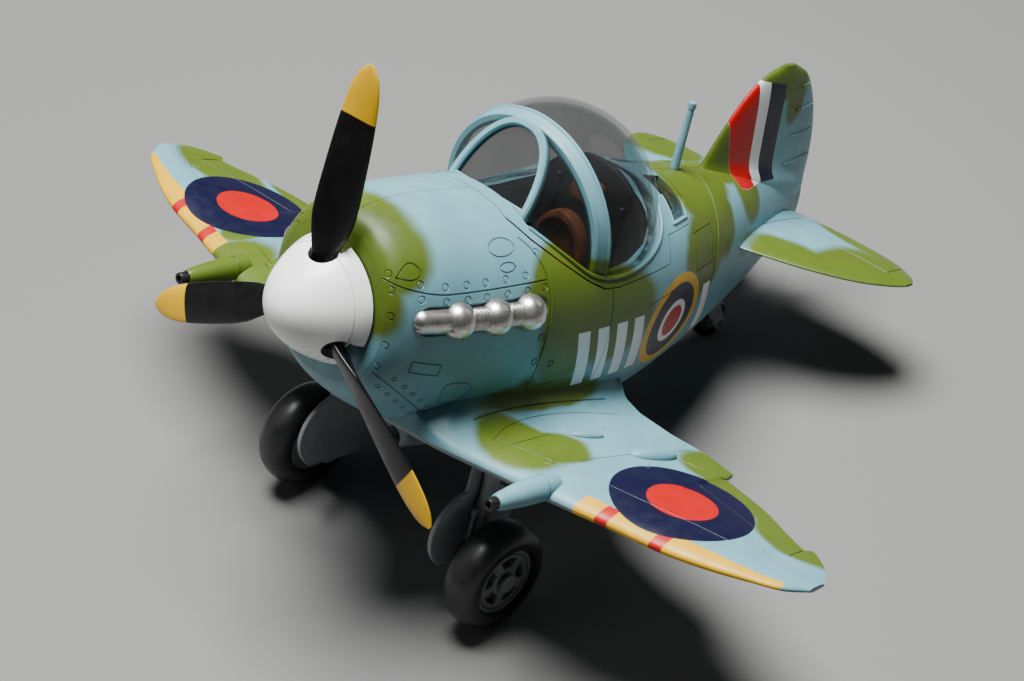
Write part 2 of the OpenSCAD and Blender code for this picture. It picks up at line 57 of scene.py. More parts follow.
# ---------- sizes of the airframe, as in the CAD ----------
WALL = 1.4
SEAM = 0.15               # the open line between the canopy's rail and the fuselage
BODY_POWER = 0.93         # how square the fuselage's section is; 1 is an ellipse
PHASE = 2.3
SPINNER_R, SPINNER_BACK, SPINNER_TIP = 7.7, 2.2, -5.9
BUBBLE_R = 13.6
BUBBLE_AT = np.array([0, 38, 6.8])
HOOP_Y, HOOP_TILT = 33.4, radians(9.5)
ARCH_W, ARCH_H, ARCH_TILT = 6.2, 10, radians(27.3)
ARCH_AT = np.array([0, 25.6, 9.6])
CANNON_X, CANNON_Z = 28.2, -12.1
DOOR_X, LEG_X = 12.5, 14
TRACK_X, MAIN_Y, MAIN_Z, TYRE_R = 18, 22.9, -33.3, 7.3
TAIL_TYRE_R = 3

# y, half width, top, bottom, height of the widest point
BODY = np.array([
    [2.5, 9, 9.2, -9.6, 0], [3.1, 10, 10.3, -10.7, -0.2], [4.2, 10.9, 11.1, -11.9, -0.5],
    [7, 12, 11.8, -14, -1], [12, 13.1, 12.1, -16.8, -1.5], [20, 14.2, 11.6, -19.8, -2],
    [30, 15, 10.8, -21.8, -2.6], [40, 15, 10.8, -22.2, -3], [50, 13.8, 10.4, -21, -3.2],
    [60, 11.4, 9, -18.8, -3.2], [70, 8.4, 8, -16.2, -3], [80, 5.2, 6.6, -12.6, -2.4],
    [88, 2.6, 5, -8.6, -1.6], [93, 1.3, 3.6, -5, -1]])
# z, leading edge, trailing edge, half thickness
FIN = np.array([
    [0, 74, 93.8, 1.2], [4, 66.5, 93.7, 1.9], [8.8, 68.2, 93.1, 1.6], [14, 71, 91.3, 1.3],
    [18, 73.8, 88.9, 1.1], [20.6, 76.8, 86.4, 0.8], [22, 80.4, 83.2, 0.4]])
# x, leading edge, trailing edge, half thickness, inboard of the aileron and then outboard
WING_IN = np.array([
    [5, 10.6, 47, 2.3], [13, 10.9, 45.2, 2.2], [16, 11.3, 42.8, 2.2], [20, 11.9, 41, 2.1],
    [26, 12.8, 40, 2], [32, 13.8, 39.8, 1.8], [36.9, 14.7, 38.6, 1.6]])
WING_OUT = np.array([
    [37.3, 14.8, 36.6, 1.6], [44.8, 16, 34.5, 1.4], [50, 17.8, 32.2, 1.1],
    [53.3, 19.4, 31, 0.85], [53.7, 19.6, 31.8, 0.82], [57.2, 21.6, 29.4, 0.6], [59, 24, 26.8, 0.3]])
TAILPLANE = np.array([
    [3, 69.4, 90.6, 1.1], [7, 70.3, 91.2, 1], [12, 72.6, 91.7, 0.9], [18, 76.3, 91.6, 0.8],
    [22.4, 80.3, 90.7, 0.6], [24.8, 84, 89.2, 0.4], [25.6, 86, 88, 0.2]])
# radius, chord, pitch in degrees, thickness
BLADE = np.array([
    [3.6, 2.2, 55, 1.8], [6.5, 3.1, 47, 1.6], [8.6, 4.2, 40, 1.5], [11, 5.1, 33, 1.3],
    [17, 5.2, 21, 1], [23, 4.8, 13, 0.8], [26.6, 3.9, 10, 0.7], [28.6, 2.4, 9, 0.5], [29.5, 0.7, 9, 0.3]])
FOOT = [
    (22.3, 14), (22.3, 10.2), (24.2, 8.5), (27.5, 6.3), (31.5, 3.9), (34.6, 2.5), (37, 2.3),
    (48.8, 2.9), (49.6, 5.9), (55.6, 5.9), (57, 8), (57, 14)]
GLASS_LINE = [
    (25, 9.6), (29, 6.8), (32.6, 4.4), (36.7, 3.7), (41.2, 4), (45.3, 5.1), (48.1, 6.7), (50, 8.8),
    (50.8, 11)]
WINDOW = [(53, 12), (52.2, 9), (51.4, 6.7), (55.3, 6.7), (56.1, 8.2), (56, 12)]
SILL = [(24.5, 6.8), (27.5, 5), (31.5, 2.6), (34.8, 1.2), (37, 1), (48, 1.6), (48, -9), (24.5, -9)]
EXHAUST = [(12.5, 10.9), (13.5, 16.1), (14.1, 21.2)]
EXHAUST_Z = 1.9


# ---------- curves ----------
def look(table, column, t):
    """A column of a table at t, through its rows on a smooth curve."""
    keys, values = table[:, 0], table[:, column]
    i = int(np.clip(np.searchsorted(keys, t, side="right") - 1, 0, len(keys) - 2))

    def slope(k):
        a, b = max(k - 1, 0), min(k + 1, len(keys) - 1)
        return (values[b] - values[a]) / (keys[b] - keys[a])

    h = keys[i + 1] - keys[i]
    u = (t - keys[i]) / h
    return (values[i] * (2 * u**3 - 3 * u**2 + 1) + slope(i) * h * (u**3 - 2 * u**2 + u)
            + values[i + 1] * (3 * u**2 - 2 * u**3) + slope(i + 1) * h * (u**3 - u**2))


def row_at(table, t):
    """All of a table's columns at t, but the first."""
    return [look(table, column, t) for column in range(1, table.shape[1])]


def around(n):
    """The angles of n points evenly round a circle."""
    return np.linspace(0, 2 * pi, n, endpoint=False)


def spow(v, e):
    return copysign(abs(v) ** e, v)


def along(points, step):
    """Points spaced about step apart along a line of given points."""
    out = [np.array(points[0], float)]
    for a, b in zip(points, points[1:]):
        a, b = np.array(a, float), np.array(b, float)
        n = max(1, round(float(np.linalg.norm(b - a)) / step))
        out += [a + (b - a) * k / n for k in range(1, n + 1)]
    return out


def rounded(points, rounds=3):
    """An open line with its corners cut, so that it runs smoothly between the same ends."""
    line = [np.array(p, float) for p in points]
    for _ in range(rounds):
        cut = [line[0]]
        for a, b in zip(line, line[1:]):
            cut += [a * 0.75 + b * 0.25, a * 0.25 + b * 0.75]
        line = cut + [line[-1]]
    return line


# ---------- solids, in airframe millimetres ----------
def solid(verts, faces):
    mesh = bpy.data.meshes.new("solid")
    mesh.from_pydata([tuple(map(float, v)) for v in verts], [], faces)
    bm = bmesh.new()
    bm.from_mesh(mesh)
    bmesh.ops.remove_doubles(bm, verts=bm.verts, dist=1e-5)
    bmesh.ops.recalc_face_normals(bm, faces=bm.faces)
    bm.to_mesh(mesh)
    bm.free()
    obj = bpy.data.objects.new("solid", mesh)
    bpy.context.scene.collection.objects.link(obj)
    return obj


def loft(rings, closed=False):
    """Joins rings with the same number of points; an open loft is capped at both ends."""
    n, m = len(rings[0]), len(rings)
    spans = m if closed else m - 1
    faces = [(k * n + i, k * n + (i + 1) % n, (k + 1) % m * n + (i + 1) % n, (k + 1) % m * n + i)
             for k in range(spans) for i in range(n)]
    if not closed:
        faces += [tuple(range(n)), tuple((m - 1) * n + i for i in range(n))]
    return solid([p for ring in rings for p in ring], faces)


def lathe(profile, centre=(0, 0, 0), axis="y", n=64):
    """A closed (radius, distance) outline turned round an axis through centre."""
    rings = []
    for k in range(n):
        c, s = cos(2 * pi * k / n), sin(2 * pi * k / n)
        turn = {"x": lambda r, d: (d, r * c, r * s), "y": lambda r, d: (r * c, d, r * s),
                "z": lambda r, d: (r * c, r * s, d)}[axis]
        rings.append([np.array(turn(r, d)) + centre for r, d in profile])
    return loft(rings, closed=True)


def rod(radius, start, end, n=32):
    """A round rod between two points, with slightly softened ends."""
    a, b = np.array(start, float), np.array(end, float)
    length = float(np.linalg.norm(b - a))
    soft = min(0.12, radius * 0.3, length * 0.2)
    frame_of = Vector(b - a).to_track_quat("Z", "Y").to_matrix()
    rings = []
    for r, d in ((radius - soft, 0), (radius, soft), (radius, length - soft), (radius - soft, length)):
        rings.append([a + np.array(frame_of @ Vector((r * cos(q), r * sin(q), d)))
                      for q in around(n)])
    return loft(rings)


def tube(path, radius, sides=6, closed=False):
    """A thin tube along a path, for an engraved line or a raised bead."""
    pts = [Vector(p) for p in path]
    rings, side = [], None
    for i, p in enumerate(pts):
        before = pts[i - 1] if i or closed else p
        after = pts[(i + 1) % len(pts)] if i < len(pts) - 1 or closed else p
        way = (after - before).normalized()
        side = (side or way.orthogonal())
        side = (side - way * side.dot(way)).normalized()
        other = way.cross(side)
        rings.append([p + radius * (cos(q) * side + sin(q) * other)
                      for q in around(sides)])
    return loft(rings, closed)


def ellipsoid(centre, radii, power=1.0, turn=0.0, n=32):
    """A ball, or with a power below 1 a soft-cornered block, turned about z."""
    rings = []
    ct, st = cos(turn), sin(turn)
    for i in range(1, n // 2):
        lat = pi * i / (n // 2) - pi / 2
        ring = []
        for k in range(n):
            q = 2 * pi * k / n
            x = radii[0] * spow(cos(lat), power) * spow(cos(q), power)
            y = radii[1] * spow(cos(lat), power) * spow(sin(q), power)
            z = radii[2] * spow(sin(lat), power)
            ring.append((centre[0] + x * ct - y * st, centre[1] + x * st + y * ct, centre[2] + z))
        rings.append(ring)
    return loft(rings)


def slab(outline, start, end, place=None):
    """A flat outline pushed through from start to end. place turns (u, v, w) into a point."""
    place = place or (lambda u, v, w: (w, u, v))
    return loft([[place(u, v, w) for u, v in outline] for w in (start, end)])


def block(low, high):
    """A plain box, used only as a cutting tool."""
    outline = [(low[1], low[2]), (high[1], low[2]), (high[1], high[2]), (low[1], high[2])]
    return slab(outline, low[0], high[0])


def applied(obj):
    """Makes what the modifiers give the object's own mesh."""
    graph = bpy.context.evaluated_depsgraph_get()
    mesh = bpy.data.meshes.new_from_object(obj.evaluated_get(graph))
    obj.modifiers.clear()
    obj.data = mesh
    return obj


def boolean(base, operation, tools):
    """Cuts, joins or intersects base with each tool in turn, and removes the tools."""
    for tool in tools:
        modifier = base.modifiers.new("work", "BOOLEAN")
        modifier.object, modifier.operation, modifier.solver = tool, operation, "MANIFOLD"
    applied(base)
    for tool in tools:
        bpy.data.objects.remove(tool)
    return base


def carve(base, *tools):
    return boolean(base, "DIFFERENCE", tools)


def weld(base, *tools):
    return boolean(base, "UNION", tools)


def common(base, *tools):
    return boolean(base, "INTERSECT", tools)


def copy_of(obj, mirror=False):
    """A copy, or the copy for the starboard side."""
    twin = obj.copy()
    twin.data = obj.data.copy()
    bpy.context.scene.collection.objects.link(twin)
    if mirror:
        twin.data.transform(Matrix.Scale(-1, 4, (1, 0, 0)))
        twin.data.flip_normals()
    return twin


# ---------- handing a solid over as a piece of the model ----------
TO_ROW = Matrix.Translation(HUB) @ Matrix((
    (PORT.x * MM, AFT.x * MM, UP.x * MM, 0), (PORT.y * MM, AFT.y * MM, UP.y * MM, 0),
    (PORT.z * MM, AFT.z * MM, UP.z * MM, 0), (0, 0, 0, 1)))
BODY_OF = {n: b for b, nodes in frame["record"]["behaviour"]["bodies"].items() for n in nodes}


def soften(obj, width, angle=40):
    """Rounds the sharp edges of a solid that is still in airframe millimetres."""
    bevel = obj.modifiers.new("soft", "BEVEL")
    bevel.width, bevel.segments = width, 2
    bevel.limit_method, bevel.angle_limit = "ANGLE", radians(angle)
    return applied(obj)


def shade(mesh, angle=32):
    """Smooth faces, with the edges that turn more than angle kept crisp."""
    bm = bmesh.new()
    bm.from_mesh(mesh)
    bmesh.ops.dissolve_degenerate(bm, edges=bm.edges, dist=1e-4)
    for face in bm.faces:
        face.smooth = True
    for edge in bm.edges:
        edge.smooth = len(edge.link_faces) == 2 and edge.calc_face_angle(0) < radians(angle)
    bm.to_mesh(mesh)
    bm.free()


def piece(name, obj, material, nodes=None, angle=32):
    """Names and paints a solid, puts it in the row frame and rides it for the CAD nodes it shows."""
    nodes = nodes or [name]
    shade(obj.data, angle)
    obj.data.transform(TO_ROW)
    obj.name = name + "_skin"
    obj.data.name = obj.name
    obj.data.materials.clear()
    obj.data.materials.append(material)
    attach(obj, BODY_OF[nodes[0]])
    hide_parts(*nodes)
    return obj


def pair(stem, obj, material, angle=32):
    """The port solid and its mirror image."""
    other = copy_of(obj, mirror=True)
    piece(stem + "_left", obj, material, angle=angle)
    piece(stem + "_right", other, material, angle=angle)


# ---------- node materials ----------
def srgb(r, g, b):
    """Screen colour, 0 to 255, as the linear colour that shaders use."""
    parts = [c / 255 for c in (r, g, b)]
    return tuple(c / 12.92 if c < 0.04045 else ((c + 0.055) / 1.055) ** 2.4 for c in parts) + (1,)


class Look:
    """A Principled material and the few node steps that the paints are written with."""

    def __init__(self, name, **sockets):
        self.material = bpy.data.materials.new(name)
        self.material.use_nodes = True
        self.tree = self.material.node_tree
        self.shader = self.tree.nodes["Principled BSDF"]
        for key, value in sockets.items():
            self.shader.inputs[key.replace("_", " ")].default_value = value

    def put(self, socket, value):
        if isinstance(value, bpy.types.NodeSocket):
            self.tree.links.new(value, socket)
        else:
            socket.default_value = value

    def node(self, kind, *values, **settings):
        n = self.tree.nodes.new("ShaderNode" + kind)
        for key, value in settings.items():
            setattr(n, key, value)
        for socket, value in zip(n.inputs, values):
            if value is not None:
                self.put(socket, value)
        return n

    def math(self, operation, a, b=0.0):
        return self.node("Math", a, b, operation=operation).outputs[0]

    def vector(self, operation, a, b=(0, 0, 0)):
        n = self.node("VectorMath", a, b, operation=operation)
        return n.outputs["Value" if operation in ("LENGTH", "DOT_PRODUCT") else "Vector"]

    def ramp(self, value, start, end, low=0.0, high=1.0):
        return self.node("MapRange", value, start, end, low, high,
                         interpolation_type="SMOOTHSTEP").outputs[0]

    def below(self, value, limit, soft=0.06):
        if isinstance(limit, bpy.types.NodeSocket):
            value, limit = self.math("SUBTRACT", value, limit), 0.0
        return self.ramp(value, limit - soft, limit + soft, 1.0, 0.0)

    def between(self, value, low, high, soft=0.06):
        return self.math("MULTIPLY", self.ramp(value, low - soft, low + soft),
                         self.below(value, high, soft))

    def both(self, *masks):
        out = masks[0]
        for m in masks[1:]:
            out = self.math("MULTIPLY", out, m)
        return out

    def any(self, masks):
        out = masks[0]
        for m in masks[1:]:
            out = self.math("MAXIMUM", out, m)
        return out

    def mix(self, mask, under, over):
        n = self.node("Mix", data_type="RGBA")
        for socket, value in ((n.inputs[0], mask), (n.inputs[6], under), (n.inputs[7], over)):
            self.put(socket, value)
        return n.outputs[2]

    def place(self):
        """The surface point in airframe millimetres, and its x, y and z."""
        if not hasattr(self, "_place"):
            point = self.vector("SUBTRACT", self.node("TexCoord").outputs["Object"], tuple(HUB))
            parts = [self.vector("DOT_PRODUCT", point, tuple(a / MM)) for a in (PORT, AFT, UP)]
            self._place = (self.node("CombineXYZ", *parts).outputs[0], *parts)
        return self._place

    def noise(self, scale, detail=3.0, output="Fac"):
        n = self.node("TexNoise", self.place()[0])
        n.inputs["Scale"].default_value = scale
        n.inputs["Detail"].default_value = detail
        return n.outputs[output]

    def scaled(self, vector, factor):
        n = self.node("VectorMath", vector, operation="SCALE")
        self.put(n.inputs["Scale"], factor)
        return n.outputs[0]

    def distance(self, u, v, centre):
        du, dv = self.math("SUBTRACT", u, centre[0]), self.math("SUBTRACT", v, centre[1])
        return self.math("SQRT", self.math("ADD", self.math("MULTIPLY", du, du),
                                           self.math("MULTIPLY", dv, dv)))

    def finish(self, colour, rough, grain=0.0, grain_scale=6.0):
        """Colour with slight unevenness and painted shade in the hollows, uneven gloss and a fine grain."""
        tone = self.ramp(self.noise(0.25, 4.0), 0.3, 0.7, 0.93, 1.05)
        # painted shade: ambient occlusion darkens the colour in hollows, grooves and joins between parts
        occlusion = self.node("AmbientOcclusion", samples=6)
        occlusion.inputs["Distance"].default_value = 0.5 * MM
        hollow_shade = self.ramp(occlusion.outputs["AO"], 0.35, 0.9, 0.45, 1.0)
        self.put(self.shader.inputs["Base Color"], self.scaled(self.scaled(colour, tone), hollow_shade))
        self.put(self.shader.inputs["Roughness"],
                 self.ramp(self.noise(0.6, 5.0), 0.3, 0.7, rough - 0.05, rough + 0.06))
        if grain:
            bump = self.node("Bump")
            bump.inputs["Strength"].default_value = grain
            bump.inputs["Distance"].default_value = 0.02 * MM
            self.put(bump.inputs["Height"], self.noise(grain_scale, 2.0))
            self.put(self.shader.inputs["Normal"], bump.outputs[0])
        return self.material


SKY_BLUE, OLIVE = srgb(104, 152, 162), srgb(80, 98, 26)
RED, NAVY = (0.44, 0.001, 0.001, 1), (0.003, 0.0035, 0.025, 1)
YELLOW, WHITE = (0.66, 0.37, 0.0, 1), srgb(225, 228, 228)
UNDER_GREY = srgb(120, 134, 138)

# Olive patches as ellipsoids: centre x, y, z and half sizes.
PATCHES = [
    (0, 3.5, 8, 13, 7, 5), (0, 2, 3, 13.5, 4, 5.5),
    (14, 29.5, -1, 9, 5.6, 9), (14, 31, 3, 9, 11, 3.6), (13, 27.5, 4, 7, 5.5, 5),
    (14, 37.5, -1.5, 9, 8.5, 6.5), (10, 25, -11, 5, 4.5, 7), (13.4, 28, -12, 2.4, 12, 3.6),
    (-14, 33, -3, 9, 9, 7), (-13, 27, -12, 8, 5, 8),
    (10, 59, 2, 9, 6.2, 5.5), (4, 62.5, 8, 9, 7.2, 4), (0, 70, 8, 4, 7, 6), (-10, 62, -2, 8, 5, 5),
    (0, 72, 12, 4, 6, 8), (0, 79, 20.5, 4, 9, 4.2), (0, 84.6, 17, 4, 2, 4.4),
    (6, 65.5, 3, 5, 3.5, 5), (2, 74.4, 4.4, 5, 4, 4.6),
    (20.8, 17.7, -12, 6.6, 4.7, 6), (23.8, 20.6, -12, 4, 4.6, 6), (35.5, 38, -11, 5.4, 5.5, 6),
    (45, 34.5, -11, 10, 4, 6), (52, 31.5, -10, 6.5, 4.2, 6),
    (-20, 17, -12, 8, 8, 6), (-27, 31, -12, 9, 8, 6), (-29, 11, -12, 5, 11, 6), (-51, 29, -11, 9, 4.6, 6),
    (-40, 36, -11, 9, 3, 6), (-34, 20, -11, 2.4, 4, 5),
    (15, 75, -1, 9, 5.6, 4), (21, 82, -1, 8, 9, 4), (13.5, 72.5, -1, 4, 3.5, 2), (15, 91, -1, 9, 3.4, 4),
    (-10, 74, -1, 8, 5, 4), (-20, 87, -1, 7, 6, 4)]


def roundel(look, colour, distance, rings, mask):
    for radius, shade_of in rings:
        colour = look.mix(look.both(look.below(distance, radius), mask), colour, shade_of)
    return colour


def leading_edge_stripe(look, colour, x, y):
    """The yellow stripe along the wing's leading edge, with two red bands."""
    out = look.math("SUBTRACT", look.math("ABSOLUTE", x), 32.0)
    edge = look.math("ADD", 13.8, look.math("ADD", look.math("MULTIPLY", out, 0.118), look.math(
        "MULTIPLY", look.math("MULTIPLY", out, out), 0.0073)))
    width = look.ramp(out, 8.0, 25.5, 2.3, 0.9)
    wide = look.below(look.math("SUBTRACT", y, edge), width)
    colour = look.mix(look.both(wide, look.between(out, 0.9, 24.9)), colour, YELLOW)
    for band in (4.5, 11.6):
        colour = look.mix(look.both(wide, look.between(out, band - 0.8, band + 0.8)), colour, RED)
    return colour


def camouflage(look, wobble=2.4):
    """Olive patches with soft sprayed edges over sky blue."""
    wave = look.vector("SUBTRACT", look.noise(0.12, 2.0, "Color"), (0.5, 0.5, 0.5))
    point = look.vector("ADD", look.place()[0], look.scaled(wave, wobble))
    masks = []
    for x, y, z, rx, ry, rz in PATCHES:
        away = look.vector("DIVIDE", look.vector("SUBTRACT", point, (x, y, z)), (rx, ry, rz))
        masks.append(look.ramp(look.vector("LENGTH", away), 0.83, 1.12, 1.0, 0.0))
    return look.mix(look.any(masks), SKY_BLUE, OLIVE)


def airframe_paint():
    look = Look("airframe_paint", Specular_IOR_Level=0.42)
    _, x, y, z = look.place()
    beside, high = look.math("ABSOLUTE", x), look.below(z, -6.5)
    colour = camouflage(look)
    belly = look.ramp(look.math("ADD", z, look.ramp(beside, 3.0, 12.0, 0.0, 3.0)), -20.5, -17.0, 1.0, 0.0)
    colour = look.mix(look.both(belly, look.below(beside, 15.0)), colour, UNDER_GREY)
    # wings
    wing = look.both(look.ramp(beside, 19.0, 19.5), look.below(y, 50.0))
    colour = look.mix(wing, colour, leading_edge_stripe(look, colour, x, y))
    colour = roundel(look, colour, look.distance(beside, y, (39.7, 24.9)), ((8.6, NAVY), (4.25, RED)),
                     look.both(wing, high))
    # fuselage sides
    side = look.both(look.between(beside, 6.0, 17.0), look.ramp(z, -14.5, -14.0))
    lean = look.math("ADD", y, look.math("MULTIPLY", look.math("ADD", z, 6.5), 0.3))
    bars = look.any([look.between(lean, c - 1.05, c + 1.05) for c in (33.0, 36.6, 40.2, 43.8, 61.6)])
    colour = look.mix(look.both(bars, look.between(z, -10.8, -2.4), side), colour, WHITE)
    colour = roundel(look, colour, look.distance(y, z, (51.9, -5.5)),
                     ((6.7, YELLOW), (5.4, NAVY), (3.1, WHITE), (2.25, RED)), side)
    # fin
    rise = look.math("SUBTRACT", z, 5.3)
    front = look.ramp(look.math("ADD", y, look.math("MULTIPLY", rise, 0.2)), 73.05, 73.2)
    roof = look.below(look.math("ADD", z, look.math("MULTIPLY", y, 0.12)), 29.3)
    flash = look.both(look.below(beside, 4.0), look.ramp(z, 5.7, 5.8), front, roof)
    swept = look.math("ADD", y, look.math("MULTIPLY", rise, 0.1))
    for end, shade_of in ((82.6, NAVY), (79.2, WHITE), (77.1, RED)):
        colour = look.mix(look.both(flash, look.below(swept, end)), colour, shade_of)
    return look.finish(colour, 0.42, grain=0.2)


def underside_paint():
    look = Look("underside_paint", Specular_IOR_Level=0.42)
    _, x, y, _ = look.place()
    colour = leading_edge_stripe(look, look.mix(look.noise(0.3), UNDER_GREY, srgb(122, 136, 140)), x, y)
    return look.finish(colour, 0.45, grain=0.25)


def plain_paint(name, colour, second, rough, grain=0.2, grain_scale=6.0, **sockets):
    """One paint, clouded with a second tone so that it is never quite even."""
    look = Look(name, **sockets)
    cloud = look.ramp(look.noise(0.45, 4.0), 0.35, 0.65)
    return look.finish(look.mix(cloud, colour, second), rough, grain, grain_scale)


def blade_paint():
    look = Look("blade_paint", Specular_IOR_Level=0.4)
    _, x, _, z = look.place()
    tip = look.below(look.distance(x, z, (0, 0)), 23.3, 0.08)
    colour = look.mix(tip, YELLOW, srgb(9, 9, 10))
    return look.finish(colour, 0.34)


def exhaust_metal():
    look = Look("exhaust_silver", Metallic=0.92, Specular_IOR_Level=0.5)
    speck = look.ramp(look.noise(5.0, 6.0), 0.3, 0.7)
    return look.finish(look.mix(speck, srgb(176, 174, 168), srgb(214, 212, 206)), 0.3, 0.2, 9.0)


def clear_plastic():
    look = Look("clear_plastic", IOR=1.45, Specular_IOR_Level=0.5)
    haze = look.ramp(look.noise(0.2, 2.0), 0.3, 0.7)
    look.put(look.shader.inputs["Base Color"], look.mix(haze, srgb(34, 36, 36), srgb(44, 46, 46)))
    look.put(look.shader.inputs["Roughness"], look.ramp(look.noise(0.8), 0.3, 0.7, 0.03, 0.07))
    look.shader.inputs["Alpha"].default_value = 0.34
    return look.material


PAINT = airframe_paint()
UNDER = underside_paint()
BLUE = plain_paint("sky_blue_paint", SKY_BLUE, srgb(98, 146, 156), 0.42)
GEAR = plain_paint("gear_grey_paint", srgb(138, 143, 145), srgb(128, 133, 135), 0.45)
SILVER = exhaust_metal()
GUN = plain_paint("gun_black_paint", srgb(18, 18, 19), srgb(26, 26, 27), 0.32)
BLACK = plain_paint("cockpit_black_paint", srgb(24, 24, 26), srgb(34, 34, 36), 0.5, 0.12, 8.0)
LEATHER = plain_paint("seat_leather", srgb(126, 70, 38), srgb(96, 52, 28), 0.45, 0.3, 5.0)
CLEAR = clear_plastic()
SPINNER = plain_paint("spinner_white_paint", srgb(255, 255, 253), srgb(250, 251, 249), 0.28, 0.1)
BLADES = blade_paint()
STEEL = plain_paint("steel_pin_metal", srgb(168, 168, 166), srgb(150, 150, 150), 0.3, Metallic=1.0)
NYLON = plain_paint("bush_nylon_plastic", srgb(212, 210, 200), srgb(204, 200, 190), 0.5)
TYRE = plain_paint("tyre_vinyl", srgb(30, 30, 31), srgb(38, 38, 39), 0.38, 0.3, 5.0)
WHEEL = plain_paint("wheel_hub_paint", srgb(128, 131, 132), srgb(118, 121, 122), 0.4)


# ---------- fuselage ----------
def body_point(y, angle, inset=0.0):
    """A point on the fuselage. The angle runs from 0 at port, through 90 at the top."""
    half, top, bottom, middle = row_at(BODY, y)
    c, s = cos(radians(angle)), sin(radians(angle))
    rise = (top - inset - middle) if s >= 0 else (middle - bottom - inset)
    return np.array([(half - inset) * spow(c, BODY_POWER), y, middle + rise * spow(s, BODY_POWER)])


def body_at(y, z, proud=0.0):
    """The port side's surface point at a height, moved out by proud."""
    _, top, bottom, middle = row_at(BODY, y)
    rise = (top - middle) if z >= middle else (middle - bottom)
    part = min(1.0, abs(z - middle) / rise) ** (1 / BODY_POWER)
    angle = degrees(asin(part)) * (1 if z >= middle else -1)
    return body_point(y, angle, -proud)


def body_loft(inset, stations, n=120):
    angles = [360 * k / n for k in range(n)]
    return loft([[body_point(y, a, inset) for a in angles] for y in stations])


NOSE = [2.5, 2.65, 2.85, 3.1, 3.5, 4.2, 5, 6]


def body_solid():
    return body_loft(0.0, NOSE + list(np.arange(7, 92.6, 0.9)) + [93])


def fin_solid():
    """The fin and rudder, flaring out where they meet the fuselage."""
    rings = []
    for z in list(np.arange(0, 20.6, 0.6)) + [20.8, 21.2, 21.6, 21.9, 22]:
        lead, trail, half = row_at(FIN, z)
        ring = []
        for k in range(64):
            q = 2 * pi * k / 64
            y = (lead + trail) / 2 - (trail - lead) / 2 * cos(q)
            root = look(BODY, 2, min(y, 93)) - 0.4
            flare = 0.9 * exp(-max(0.0, z - root) / 0.7)
            ring.append((-(half + flare) * sin(q), y, z))
        rings.append(ring)
    return loft(rings)


def rudder_rib(z):
    """A thin raised rib across the rudder, short of its trailing edge and rising a little aft."""
    lead, trail, half = row_at(FIN, z)
    rings = []
    for y in np.linspace(85.2, trail - 1.2, 8):
        c = 2 * (y - lead) / (trail - lead) - 1
        wide, at = half * sqrt(1 - c * c) + 0.2, z + 0.07 * (y - 85.2)
        corners = ((-1, -0.18), (1, -0.18), (1, 0.18), (-1, 0.18))
        rings.append([(side * wide, y, at + up) for side, up in corners])
    return loft(rings)


def ring_rivet(point, outward, r=0.42):
    """A small engraved circle on a surface, as a cutting tool."""
    turn = Vector(outward).to_track_quat("Z", "Y").to_matrix()
    path = [Vector(point) + turn @ Vector((r * cos(q), r * sin(q), 0))
            for q in around(14)]
    return tube(path, 0.11, 5, closed=True)


def side_line(points, radius):
    """An engraved line through (y, z) points on the port side, as a cutting tool."""
    return tube([body_at(y, z) for y, z in along(points, 0.6)], radius)


def side_rivets(points, r=0.42):
    tools = []
    for y, z in points:
        p = body_at(y, z)
        outward = np.cross(body_at(y + 0.3, z) - p, body_at(y, z + 0.3) - p)
        tools.append(ring_rivet(p, outward if outward[0] > 0 else -outward, r))
    return tools


def oval(y, z, ry, rz, n=22):
    """A closed oval of (y, z) points."""
    ring = [2 * pi * k / n for k in range(n + 1)]
    return [(y + ry * cos(q), z + rz * sin(q)) for q in ring]


def cowl_height(y):
    """The height of the cowling's upper panel line."""
    return 4.9 + 0.055 * max(0.0, 9.5 - y) ** 1.6


def side_markings():
    """Panel lines, access panels and rivets of one fuselage side, as cutting tools."""
    cowl = [(y, cowl_height(y)) for y in np.arange(2.6, 24.8, 1.0)]
    flap = [(12.3, -9.9), (11.5, -6.8), (13.6, -6.7), (15.6, -7.2), (15.8, -8.6), (14.6, -10)]
    drop = [(3.5, 6.6), (4.3, 7.6), (5.5, 8.3), (6.6, 7.4), (5.6, 6.4), (3.5, 6.6)]
    seam = [(2.9 + 1.6 * k, -5.2 - 1.23 * k) for k in range(8)]
    lines = [
        (cowl, 0.13), ([(25, z) for z in (-4.6, -7, -10, -14)], 0.11),
        ([(61.8, z) for z in (-1.4, -6, -11, -16.5)], 0.12),
        ([(36.2, 2.2), (36.4, -1), (36.8, -6), (37, -11)], 0.1),
        ([(25.2, -9.6), (29, -9.2)], 0.13), ([(44.5, -1.2), (50, -0.6)], 0.1)]
    hatch = [(56, 4.9), (61, 4.9), (61, 0.4), (56, 0.4)]
    panel = [(6, -3), (9.9, -3.7), (9.9, -5.3), (6, -4.5)]
    for box, radius in ((hatch, 0.1), (panel, 0.12)):
        lines += [(edge, radius) for edge in zip(box, box[1:] + box[:1])]
    others = [
        rounded(flap), [flap[0], flap[-1]], oval(18.9, 8.5, 2.1, 0.75), oval(18.9, 6.75, 1.2, 0.45),
        rounded(drop), seam]
    lines += [(line, 0.12) for line in others]
    studs = [(y + side * 0.5, z + side * 0.75) for y, z in seam[1:-1] for side in (1, -1)]
    rivets = [(y, rise) for y in (3, 6, 9.2, 12.2, 15, 18.2, 21.4)
              for rise in (cowl_height(y) + 0.8, cowl_height(y) - 0.75)]
    rivets += [(2.9, z) for z in (2.4, -1.2, -4.2)]
    rivets += [(24.2, z) for z in (7.6, 4.2, 1.6, -1.8, -5.2, -8.6, -12)] + [(27.2, -6)]
    return [side_line(*line) for line in lines] + side_rivets(studs, 0.3) + side_rivets(rivets)


